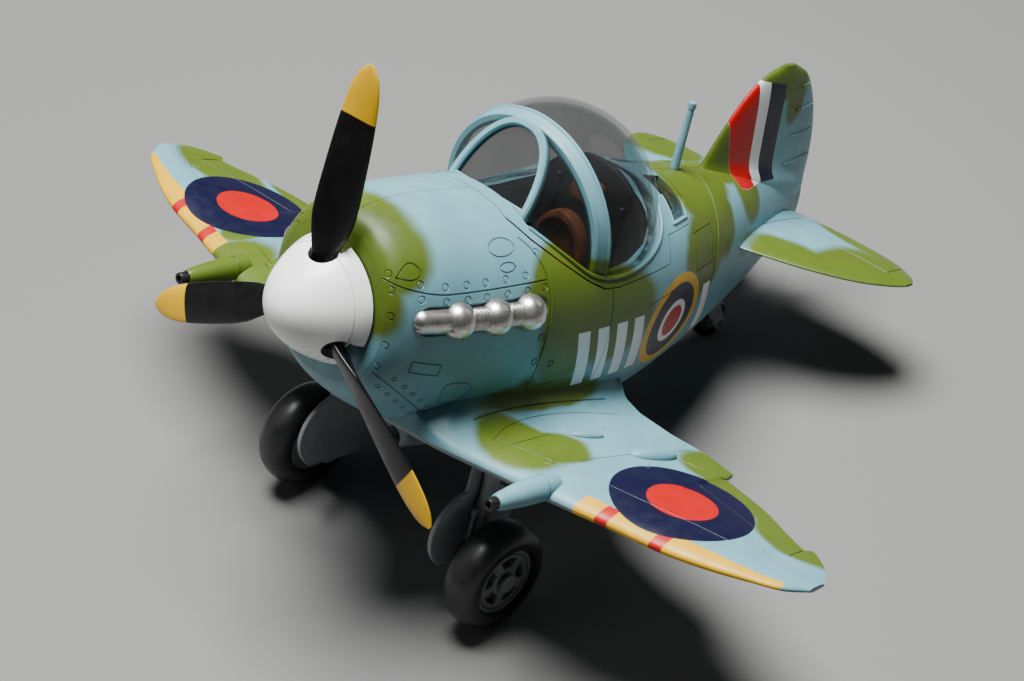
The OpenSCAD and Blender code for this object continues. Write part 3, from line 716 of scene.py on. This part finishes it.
def side_beads():
    """The raised beads behind the cowling and in front of the tail, on one side."""
    rises = ((22.4, 9), (23.8, 7.9), (24.8, 6), (25.3, 3), (25.2, -1), (25, -4.6)), (
        (65, 8.5), (64.4, 7.5), (63.5, 5.6), (62.7, 2.6), (62, -1.4))
    return [tube([body_at(y, z) for y, z in along(rounded(rise, 2), 0.8)], 0.17, 8) for rise in rises]


def exhaust_recess():
    """The dark hollow that the exhaust stubs sit in, as a cutting tool."""
    path = [body_at(y, EXHAUST_Z, 2.1) for y in np.arange(6.6, 22.8, 0.9)]
    tool = tube(path, 2.85, 24)
    for end in (path[0], path[-1]):
        tool = weld(tool, ellipsoid(end, (2.85, 2.85, 2.85), n=24))
    return tool


def fuselage():
    whole = weld(body_solid(), fin_solid())
    weld(whole, *[rudder_rib(z) for z in (2.9, 7.2, 11.3, 15.4, 18.8)])
    carve(whole, body_loft(WALL, np.linspace(3.9, 85, 60), 64), slab(FOOT, -20, 20),
          rod(2.6, (0, 0, 0), (0, 6, 0)), rod(1, (0, 78.5, -20), (0, 78.5, -8)))
    half = common(whole, block((0.03, -10, -40), (40, 110, 40)))
    weld(half, *side_beads())
    carve(half, exhaust_recess(), *side_markings())
    pair("fuselage", half, PAINT)


fuselage()


# ---------- wings and tail ----------
def wing_z(x):
    return -12.6 + 0.09 * (x - 30.4)


def thick(u):
    return 2.969 * sqrt(u) - 1.26 * u - 3.516 * u**2 + 2.843 * u**3 - 0.961 * u**4


def wing_row(x):
    """Leading edge, trailing edge and half thickness at x."""
    if x <= 37.1:
        x = min(x, 36.9)
        return look(WING_IN, 1, x), float(np.interp(x, WING_IN[:, 0], WING_IN[:, 2])), look(WING_IN, 3, x)
    return row_at(WING_OUT, max(x, 37.3))


def wing_at(x, y, up=1):
    """The upper (up = 1) or lower (up = -1) surface, with the fillet at the root."""
    lead, trail, half = wing_row(x)
    u = min(1.0, max(0.0, (y - lead) / (trail - lead)))
    z = wing_z(x) + up * (half * thick(u) + 0.15 * u)
    if up > 0 and x < 17:
        z += 3.2 * ((17 - max(x, 9)) / 4.2) ** 2 * sin(pi * min(0.97, max(0.03, u))) ** 0.6
    return np.array([x, y, z])


def wing_skin(up):
    stations = (list(np.arange(5, 36.9, 0.7)) + [36.9, 37.3] + list(np.arange(38, 53, 0.7))
                + [53.2, 53.5, 53.8] + list(np.arange(54.4, 58.2, 0.5)) + [58.4, 58.7, 58.9, 59])
    rings = []
    for x in stations:
        lead, trail, _ = wing_row(x)
        chord = [lead + (trail - lead) * (1 - cos(pi * k / 44)) / 2 for k in range(45)]
        skin = [wing_at(x, y, up) for y in chord[1:]]
        rings.append([(x, lead, wing_z(x)), *skin, (x, trail, wing_z(x))])
    return carve(loft(rings), body_solid())


def wing_line(points, radius, up):
    return tube([wing_at(x, y, up) for x, y in along(points, 0.7)], radius)


def wing_marks(up):
    """Engraved lines of one wing, as cutting tools."""
    both = [
        ([(14.5, 15.8), (15.9, 38.6)], 0.14), ([(37.1, 36.4), (37.1, 31.2)], 0.12),
        ([(37.1, 31.2), (53.4, 27.6)], 0.1), ([(53.4, 27.6), (53.2, 30.4)], 0.12),
        ([(18, 15.9), (31.6, 19.4)], 0.09), ([(33, 19.8), (56.6, 24.6)], 0.08)]
    top = [
        (rounded([(18.4, 15.4), (16.9, 19), (16.6, 25), (17.6, 31), (19.6, 37)]), 0.1),
        ([(19.2, 31.6), (34.8, 35)], 0.09), ([(27.4, 20.6), (30.4, 38.6)], 0.09),
        ([(20.9, 22.4), (20.4, 16.2)], 0.09)]
    for x, y in ((21.6, 30), (25.2, 16.8), (31, 27.4), (51, 24)):
        top += [([(x, y), (x + 1.1, y + 0.5)], 0.09), ([(x + 1.1, y + 0.75), (x + 0.1, y + 1.5)], 0.09)]
    return [wing_line(line, radius, up) for line, radius in (both + top if up > 0 else both)]


def blister(start, end, wide, high):
    """A long bulge on the wing, from its front to its rear."""
    a, b = wing_at(*start), wing_at(*end)
    turn = atan2(b[1] - a[1], b[0] - a[0])
    middle = (a + b) / 2 + (0, 0, 0.1)
    return ellipsoid(middle, (float(np.linalg.norm(b - a)) / 2, wide, high), turn=turn, n=40)


def wings():
    top = wing_skin(1)
    weld(top, blister((22, 25), (23.9, 28.9), 0.75, 0.55), blister((28.7, 28.3), (31.2, 34.2), 1.25, 1.0))
    socket = rod(1.6, (CANNON_X, 11, CANNON_Z), (CANNON_X, 15.6, CANNON_Z), 48)
    carve(top, copy_of(socket), slab([(0, 0), (0.5, 1.7), (0.75, 1.5)], wing_z(37) - 3, wing_z(37) + 3,
                                     lambda u, v, w: (36.9 + u, 35.4 + v, w)), *wing_marks(1))
    pair("wing_top", top, PAINT)
    bottom = wing_skin(-1)
    leg = rod(1.15, (LEG_X, MAIN_Y, MAIN_Z), (LEG_X, MAIN_Y, MAIN_Z + 19), 32)
    carve(bottom, socket, leg, *wing_marks(-1))
    pair("wing_bottom", bottom, UNDER)


def tail_at(x, y, up=1):
    lead, trail, half = row_at(TAILPLANE, x)
    c = max(-1.0, min(1.0, 2 * (y - lead) / (trail - lead) - 1))
    return np.array([x, y, -0.6 + 0.01 * x + up * half * sqrt(1 - c * c)])


def tailplanes():
    rings = []
    for x in list(np.arange(3, 25.4, 0.6)) + [25.4, 25.6]:
        lead, trail, half = row_at(TAILPLANE, x)
        turns = [2 * pi * k / 72 for k in range(72)]
        rings.append([(x, (lead + trail) / 2 - (trail - lead) / 2 * cos(q),
                       -0.6 + 0.01 * x + half * sin(q)) for q in turns])
    plane = carve(loft(rings), body_solid(), fin_solid())
    for up in (1, -1):
        root = rounded([(5.9, 72.6), (5.2, 79), (5.4, 88.4)])
        hinge = [(5.6, 84.6), (22.4, 86)]
        tip = [(22.4, 86), (22.2, 90)]
        for line in (root, hinge, tip):
            carve(plane, tube([tail_at(x, y, up) for x, y in along(line, 0.7)], 0.11))
    pair("tailplane", plane, PAINT)


wings()
tailplanes()


# ---------- small parts on the airframe ----------
def intake():
    scoop = [(0, 19), (1.85, 19), (2.1, 19.4), (2.35, 23), (2.6, 28), (2.2, 31.5), (0, 32.5)]
    shell = lathe(scoop)
    shell.data.transform(Matrix.Translation((0, 0, -21.3)) @ Matrix.Rotation(radians(-4), 4, "X")
                         @ Matrix.Diagonal((1.25, 1, 1, 1)) @ Matrix.Translation((0, 0, 0.9)))
    mouth = rod(1.45, (0, 17, -22.6), (0, 24, -22.9), 40)
    piece("carburettor_intake", carve(shell, body_solid(), mouth), UNDER)


def mast():
    profile = [
        (0, 8.2), (0.7, 8.2), (0.64, 8.9), (0.45, 17.4), (0.52, 17.45), (0.54, 17.55), (0.54, 18.3),
        (0.46, 18.4), (0, 18.4)]
    piece("antenna_mast", lathe(profile, (0, 62, 0), "z", 40), BLUE)


def exhausts():
    """Three round collectors joined by ribbed necks, and the long front stub."""
    run = [(11.1, 6.5, EXHAUST_Z), (11.8, 8.4, EXHAUST_Z), (12.3, 10.6, EXHAUST_Z)]
    stub = tube(rounded(run, 2), 1.5, 32)
    weld(stub, ellipsoid(run[0], (1.5, 1.5, 1.5), n=40))
    for x, y in EXHAUST:
        weld(stub, ellipsoid((x, y, EXHAUST_Z), (2.25, 2.15, 2.25), n=48))
    for (x0, y0), (x1, y1) in zip(EXHAUST, EXHAUST[1:]):
        for k in range(5):
            u = 0.34 + 0.08 * k
            at = (x0 + (x1 - x0) * u, y0 + (y1 - y0) * u, EXHAUST_Z)
            weld(stub, ellipsoid(at, (1.45, 0.28, 1.45), n=32))
        weld(stub, rod(1.3, (x0, y0, EXHAUST_Z), (x1, y1, EXHAUST_Z), 32))
    pair("exhaust", carve(stub, body_loft(0.9, np.linspace(2.6, 40, 40), 90)), SILVER)


def cannons():
    cone = [
        (0, 6), (0.85, 6), (0.98, 6.3), (1.12, 7.2), (1.35, 9), (1.5, 10.8), (1.6, 12.6), (1.6, 15.5),
        (0, 15.5)]
    fairing = lathe(cone, (CANNON_X, 0, CANNON_Z), n=56)
    carve(fairing, rod(0.55, (CANNON_X, 5, CANNON_Z), (CANNON_X, 8, CANNON_Z), 32))
    ring = [(CANNON_X + 1.58 * cos(q), 13.4, CANNON_Z + 1.58 * sin(q))
            for q in around(40)]
    pair("cannon_fairing", carve(fairing, tube(ring, 0.12, 6, closed=True)), PAINT)
    barrel = [
        (0.36, 4.85), (0.42, 4.8), (0.7, 4.8), (0.75, 4.9), (0.75, 6), (0.52, 6.1), (0.52, 8), (0.2, 8),
        (0.2, 5.8), (0.36, 5.8)]
    pair("cannon", lathe(barrel, (CANNON_X, 0, CANNON_Z), n=48), GUN)


def propeller():
    def dome_r(y):
        part = max(0.0, 1 - ((SPINNER_BACK - y) / (SPINNER_BACK - SPINNER_TIP)) ** 1.14)
        return SPINNER_R * part**0.49

    def dome(inset, n=40):
        out = [(0, SPINNER_BACK + inset)]
        for k in range(n):
            y = SPINNER_BACK + (SPINNER_TIP - SPINNER_BACK) * sin(pi / 2 * k / n)
            out.append((max(0.02, dome_r(y) - inset), y if k else y + inset))
        return out + [(0, SPINNER_TIP + inset)]

    shell = carve(lathe(dome(0), n=128), lathe(dome(1.2), n=64))
    for k in range(3):
        turn = Matrix.Rotation(radians(PHASE + 120 * k), 4, "Y")
        hole, slot_of = rod(1.85, (0, 0, 3), (0, 0, 11), 48), block((-1.7, 0, 3), (1.7, 4, 11))
        for tool in (hole, slot_of):
            tool.data.transform(turn)
        carve(shell, hole, slot_of)
    seam_y = 0.2
    ring = [(dome_r(seam_y) * cos(q), seam_y, dome_r(seam_y) * sin(q)) for q in around(120)]
    piece("spinner", carve(shell, tube(ring, 0.1, 6, closed=True)), SPINNER)
    for k in range(3):
        rings = []
        for r in list(np.linspace(3.6, 28, 46)) + [28.4, 28.8, 29.1, 29.35, 29.5]:
            chord, pitch, deep = row_at(BLADE, r)
            c, s = cos(radians(pitch)), sin(radians(pitch))
            ring = []
            for i in range(32):
                q = -2 * pi * i / 32
                u, v = chord / 2 * cos(q), deep / 2 * sin(q) * (1 + 0.35 * cos(q))
                ring.append((u * c - v * s, u * s + v * c, r))
            rings.append(ring)
        blade = weld(loft(rings), rod(0.78, (0, 0, 2), (0, 0, 5), 24))
        blade.data.transform(Matrix.Rotation(radians(PHASE + 120 * k), 4, "Y"))
        piece(f"blade_{k + 1}", blade, BLADES, angle=60)


intake()
mast()
exhausts()
cannons()
propeller()


# ---------- undercarriage ----------
def gear():
    at = np.array([LEG_X, MAIN_Y, 0])
    low, top = MAIN_Z - 0.2, MAIN_Z + 18.9
    strut = [
        (0, low), (0.95, low), (1.08, low + 0.3), (1.08, low + 2.4), (0.8, low + 2.8), (0.8, low + 6.6),
        (1.1, low + 6.9), (1.1, low + 8.2), (1.0, low + 8.4), (1.0, low + 11.4), (1.1, low + 11.6),
        (1.1, top), (0, top)]
    leg = lathe(strut, at, "z", 40)
    weld(leg, rod(1.9, (DOOR_X + 0.36, MAIN_Y, MAIN_Z), (TRACK_X - 2.9, MAIN_Y, MAIN_Z), 40))
    for z in (low + 3.4, low + 7.2):
        weld(leg, ellipsoid((LEG_X, MAIN_Y - 1.3, z), (0.5, 0.7, 0.45), 0.6, n=20))
    weld(leg, rod(0.28, (LEG_X, MAIN_Y - 1.6, low + 3.4), (LEG_X, MAIN_Y - 1.6, low + 7.2), 16))
    pair("gear_leg", carve(leg, rod(0.9, (10, MAIN_Y, MAIN_Z), (20, MAIN_Y, MAIN_Z), 32)), GEAR)
    lobe = [(23 - 7.1 * cos(radians(a)), -29.5 + 6 * sin(radians(a)))
            for a in list(range(70, -51, -6)) + list(range(230, 109, -6))]
    outline = [(26.2, -16.4), (20.8, -16.4)] + lobe
    door = slab(outline, DOOR_X - 0.35, DOOR_X + 0.35)
    pair("gear_door", soften(door, 0.16), GEAR)


def tyre(r, inner, half, x):
    """A tyre's outline with rounded shoulders and a bead line on the wall."""
    out = [(inner, x - half * 0.8), (inner + 0.25, x - half * 0.84)]
    for k in range(-16, 17):
        q = pi / 2 * k / 16
        out.append((r + half * 0.95 * (spow(cos(q), 0.8) - 1), x + half * spow(sin(q), 0.9)))
    out += [(inner + 0.25, x + half * 0.84), (inner, x + half * 0.8)]
    return out


def wheels():
    ring = lathe(tyre(TYRE_R, 4.6, 2.6, TRACK_X), (0, MAIN_Y, MAIN_Z), "x", 128)
    for x in (TRACK_X - 2.42, TRACK_X + 2.42):
        path = [(x, MAIN_Y + 5.5 * cos(q), MAIN_Z + 5.5 * sin(q))
                for q in around(90)]
        carve(ring, tube(path, 0.1, 6, closed=True))
    pair("tyre", ring, TYRE)
    front = TRACK_X + 1.9
    face = [
        (0.95, TRACK_X - 1.9), (4.6, TRACK_X - 1.9), (4.6, front), (4.5, front + 0.1), (4.15, front + 0.1),
        (4.05, front - 0.15), (3.85, front - 0.15), (3.75, front), (1.7, front), (1.6, front + 0.1),
        (1.0, front + 0.1), (0.95, front + 0.05)]
    hub = lathe(face, (0, MAIN_Y, MAIN_Z), "x", 96)
    for k in range(5):
        middle = radians(72 * k + 18)
        arc = [(3.35, middle + radians(a)) for a in range(-25, 26, 5)]
        arc += [(1.95, middle + radians(a)) for a in range(18, -19, -6)]
        outline = [(MAIN_Y + r * cos(q), MAIN_Z + r * sin(q)) for r, q in arc]
        carve(hub, slab(outline, front - 0.9, front + 1))
    pair("hub", hub, WHEEL)
    centre = TO_ROW.inverted() @ Vector(JOINTS["tail_wheel_spin"]["pos_m"])
    piece("tail_wheel_tyre", lathe(tyre(TAIL_TYRE_R, 1.7, 1.1, 0), np.array(centre), "x", 72), TYRE)
    plate = [
        (0.55, -1), (0.9, -1.05), (1.1, -0.8), (1.7, -0.75), (1.7, 0.75), (1.1, 0.8), (0.9, 1.05), (0.55, 1)]
    piece("tail_wheel_hub", lathe(plate, np.array(centre), "x", 56), WHEEL)


gear()
wheels()


# ---------- cockpit ----------
def arch_panel(w, top, bottom, start, end):
    """A panel with a rounded top that stands across the cockpit."""
    spring = bottom + (top - bottom) * 0.45
    outline = [(w * cos(radians(a)), spring + (top - bottom) * 0.55 * sin(radians(a)))
               for a in range(0, 181, 5)]
    outline += [(-w, bottom), (w, bottom)]
    return slab(outline, start, end, lambda u, v, t: (u, t, v))


def cockpit():
    tub = common(body_loft(WALL + 0.15, np.linspace(24.5, 48, 30), 72), slab(SILL, -20, 20))
    hollow = body_loft(WALL + 1.35, np.linspace(23, 50, 30), 72)
    carve(tub, carve(hollow, block((-20, 20, -20), (20, 60, -7.8))))
    for side in (1, -1):
        weld(tub, ellipsoid((side * 9.4, 38, -1.2), (1.6, 8.5, 1.1), 0.45, n=32))
        weld(tub, ellipsoid((side * 9.8, 31, 1.4), (1.5, 2.2, 1.5), 0.4, n=24))
    piece("cockpit_tub", tub, BLACK)
    bulkhead = soften(arch_panel(10.4, 12.2, -7.6, 45.6, 46.6), 0.2)
    weld(bulkhead, ellipsoid((0, 45.5, 2), (3.6, 0.35, 6), 0.4, n=32))
    for side in (1, -1):
        weld(bulkhead, rod(0.5, (side * 5.6, 45.5, -6), (side * 5.6, 45.5, 8), 20))
    piece("cockpit_bulkhead", bulkhead, BLACK)
    board = soften(arch_panel(9.4, 6.4, -7.6, 26.3, 27.3), 0.2)
    dials = [
        (-5.6, 1.6, 1.1), (-2.9, 2.9, 1.2), (0, 3.4, 1.2), (2.9, 2.9, 1.2), (5.6, 1.6, 1.1), (-1.5, 0.2, 1.1),
        (1.5, 0.2, 1.1)]
    for x, z, r in dials:
        rim = [(r - 0.22, 27.2), (r, 27.2), (r, 27.45), (r - 0.08, 27.55), (r - 0.22, 27.5)]
        weld(board, lathe(rim, (x, 0, z), "y", 28))
    piece("instrument_panel", board, BLACK)


def seat():
    bucket = soften(block((-4.8, 33.5, -7.6), (4.8, 42.5, -2.8)), 0.6)
    weld(bucket, soften(arch_panel(4.6, 5.4, -7, 40.9, 43.1), 0.5))
    carve(bucket, block((-3.8, 34.4, -4.6), (3.8, 40, -0.6)), arch_panel(3.6, 4.4, -3.4, 38, 42.1))
    piece("seat", bucket, LEATHER)
    pad = ellipsoid((0, 37.1, -3.85), (3.65, 2.55, 0.75), 0.35, n=56)
    for x in (-1.2, 1.2):
        seam = [(x, y, -3.12) for y in np.linspace(34.8, 39.4, 8)]
        carve(pad, tube(seam, 0.16, 8))
    piece("seat_cushion", pad, LEATHER)
    rest = ellipsoid((0, 44.95, 7.8), (2.6, 0.6, 1.8), 0.42, n=48)
    piece("headrest", rest, LEATHER)


cockpit()
seat()


# ---------- canopy ----------
def above_glass_line():
    """Everything above the glass line, as a tool for an intersection."""
    return slab(GLASS_LINE + [(51.4, 30), (20, 30), (20, 9.6)], -20, 20)


def hoop_point(angle, off, radius):
    """A point on the sphere of a radius, on the plane that lies off behind the hoop's middle."""
    normal = np.array([0, cos(HOOP_TILT), sin(HOOP_TILT)])
    upward = np.array([0, -sin(HOOP_TILT), cos(HOOP_TILT)])
    on_plane = np.array([0, HOOP_Y, BUBBLE_AT[2]]) + normal * off
    centre = BUBBLE_AT + normal * float(np.dot(on_plane - BUBBLE_AT, normal))
    flat = sqrt(max(0.01, radius**2 - float(np.sum((centre - BUBBLE_AT) ** 2))))
    a = radians(angle)
    return centre + flat * (cos(a) * np.array([1, 0, 0]) + sin(a) * upward)


def canopy_hoop():
    """The band round the bubble, with a raised bead along each edge."""
    section = [(-1, 13.2), (-1, 14.2), (-0.85, 14.3), (-0.65, 14.3), (-0.55, 14.15), (0.55, 14.15),
               (0.65, 14.3), (0.85, 14.3), (1, 14.2), (1, 13.2)]
    rings = [[hoop_point(a, off, r) for off, r in section] for a in np.linspace(-16, 196, 90)]
    piece("canopy_hoop", common(loft(rings), above_glass_line()), PAINT)


def canopy_bubble():
    ball = ellipsoid(BUBBLE_AT, (BUBBLE_R,) * 3, n=160)
    carve(ball, ellipsoid(BUBBLE_AT, (BUBBLE_R - 0.7,) * 3, n=120))
    behind = block((-20, 1.03, -20), (20, 31, 20))
    lean = Matrix.Translation((0, HOOP_Y, BUBBLE_AT[2])) @ Matrix.Rotation(HOOP_TILT, 4, "X")
    behind.data.transform(lean)
    piece("canopy_bubble", common(ball, behind, above_glass_line()), CLEAR)


def arch_at(angle, w, h, proud=0.0):
    """A point on the windscreen's arch. proud stands off the pane."""
    a = radians(angle)
    u, v = w * spow(cos(a), 0.85), h * sin(a)
    return ARCH_AT + np.array([u, v * sin(ARCH_TILT) - proud * cos(ARCH_TILT),
                               v * cos(ARCH_TILT) + proud * sin(ARCH_TILT)])


def windscreen():
    section = [(-0.5, -0.4), (-0.5, 0.45), (-0.3, 0.7), (0.3, 0.7), (0.5, 0.45), (0.5, -0.4)]
    arch = loft([[arch_at(a, ARCH_W + s, ARCH_H + s, p) for s, p in section]
                 for a in np.linspace(0, 180, 60)])
    sill = loft([[arch_at(90, 0, 0.45 + s, p) + (x, 0, 0) for s, p in section] for x in (-ARCH_W, ARCH_W)])
    piece("windscreen_frame", weld(arch, sill), PAINT)
    outline = [arch_at(a, ARCH_W - 0.55, ARCH_H - 0.55) for a in np.linspace(4, 176, 40)]
    inward = arch_at(90, 0, 0, -0.5) - arch_at(90, 0, 0, 0)
    glass = loft([outline, [p + inward for p in outline]])
    rings = []
    for k in range(25):
        a = arch_at(2 + k * 76 / 24, ARCH_W + 0.55, ARCH_H + 0.55)
        h = hoop_point(-8 + k * 88 / 24, -1.05, BUBBLE_R)
        t = np.array([0.4, 0, 0.2])
        rings.append([a - t, h - t, h, a])
    side = loft(rings)
    weld(glass, copy_of(side, mirror=True), side)
    piece("windscreen_glass", glass, CLEAR)


def canopy_rail():
    pulled = [(y + (SEAM if y < 40 else -SEAM), z + SEAM) for y, z in FOOT]
    rail = common(body_solid(), slab(pulled, -20, 20))
    opening = slab(GLASS_LINE + [(50.8, 16), (25, 16)], -20, 20)
    carve(rail, body_loft(WALL, np.linspace(20, 60, 44), 72), opening)
    carve(rail, slab(WINDOW, 2, 20), slab(WINDOW, -20, -2))
    edge = rounded(GLASS_LINE[:-1], 2)
    for side in (1, -1):
        bead = [body_at(y, z - 0.25, 0.02) * (side, 1, 1) for y, z in along(edge, 0.8)]
        weld(rail, tube(bead, 0.28, 10))
        ledge = [body_at(y, z, 0.02) * (side, 1, 1) for y, z in along(WINDOW[1:5], 0.5)]
        weld(rail, tube(ledge, 0.2, 8))
    piece("canopy_rail", rail, PAINT)
    pane = carve(body_loft(0.3, np.linspace(50, 57, 12), 96), body_loft(0.9, np.linspace(49, 58, 12), 72))
    pair("quarter_window", common(pane, slab(WINDOW, 2, 20)), CLEAR)


canopy_hoop()
canopy_bubble()
windscreen()
canopy_rail()

# ---------- CAD parts that keep their own shape ----------
KEPT = {
    "nose_bulkhead": BLACK, "shaft_bush": NYLON, "shaft_collar": GUN, "propeller_shaft": STEEL,
    "propeller_hub": GUN, "spinner_backplate": SPINNER, "gunsight": BLACK, "control_stick": BLACK,
    "axle_left": WHEEL, "axle_right": WHEEL, "tail_wheel_axle": STEEL, "tail_wheel_fork": GEAR}
for name, material in KEPT.items():
    node = frame["nodes"][name]
    node.data.materials.clear()
    node.data.materials.append(material)


# ---------- stage, light and camera ----------
def floor():
    sheet = solid([(-900, -900, 0), (900, -900, 0), (900, 900, 0), (-900, 900, 0)], [(0, 1, 2, 3)])
    sheet.data.transform(Matrix.Scale(MM, 4))
    look_of = Look("floor_paper", Roughness=0.6, Specular_IOR_Level=0.25)
    noise = look_of.node("TexNoise")
    noise.inputs["Scale"].default_value = 6.0
    grey = look_of.mix(noise.outputs["Fac"], srgb(116, 116, 115), srgb(121, 121, 120))
    look_of.put(look_of.shader.inputs["Base Color"], grey)
    sheet.name = "floor"
    sheet.data.materials.append(look_of.material)


def light(name, place, size, power):
    data = bpy.data.lights.new(name, "AREA")
    data.shape, data.size, data.energy = "DISK", size, power
    lamp = bpy.data.objects.new(name, data)
    lamp.location = place
    lamp.rotation_euler = (Vector((0, 0, 0.03)) - Vector(place)).to_track_quat("-Z", "Y").to_euler()
    bpy.context.scene.collection.objects.link(lamp)


def camera():
    """Looks down on the nose from the port bow, rolled slightly."""
    place, target, roll = Vector((0.1493, -0.1530, 0.1966)), Vector((-0.0166, 0.0045, 0.0024)), -0.0125
    forward = (target - place).normalized()
    level = forward.cross(Vector((0, 0, 1))).normalized()
    upward = level.cross(forward)
    right = level * cos(roll) + upward * sin(roll)
    upward = right.cross(forward)
    data = bpy.data.cameras.new("camera")
    data.lens, data.sensor_width, data.clip_start = 73.4, 36, 0.01
    eye = bpy.data.objects.new("camera", data)
    turn = Matrix((right, upward, -forward)).transposed().to_4x4()
    eye.matrix_world = Matrix.Translation(place) @ turn
    bpy.context.scene.collection.objects.link(eye)
    bpy.context.scene.camera = eye


def studio():
    world = bpy.data.worlds.new("studio")
    world.use_nodes = True
    world.node_tree.nodes["Background"].inputs["Color"].default_value = (0.9, 0.93, 1.0, 1)
    world.node_tree.nodes["Background"].inputs["Strength"].default_value = 0.02
    bpy.context.scene.world = world
    light("key", (-0.07, 0.0, 0.48), 0.26, 7.6)
    light("fill", (-0.35, -0.35, 0.3), 0.5, 0.25)
    light("rim", (0.15, 0.55, 0.4), 0.4, 0.25)


floor()
studio()
camera()
bpy.context.view_layer.update()
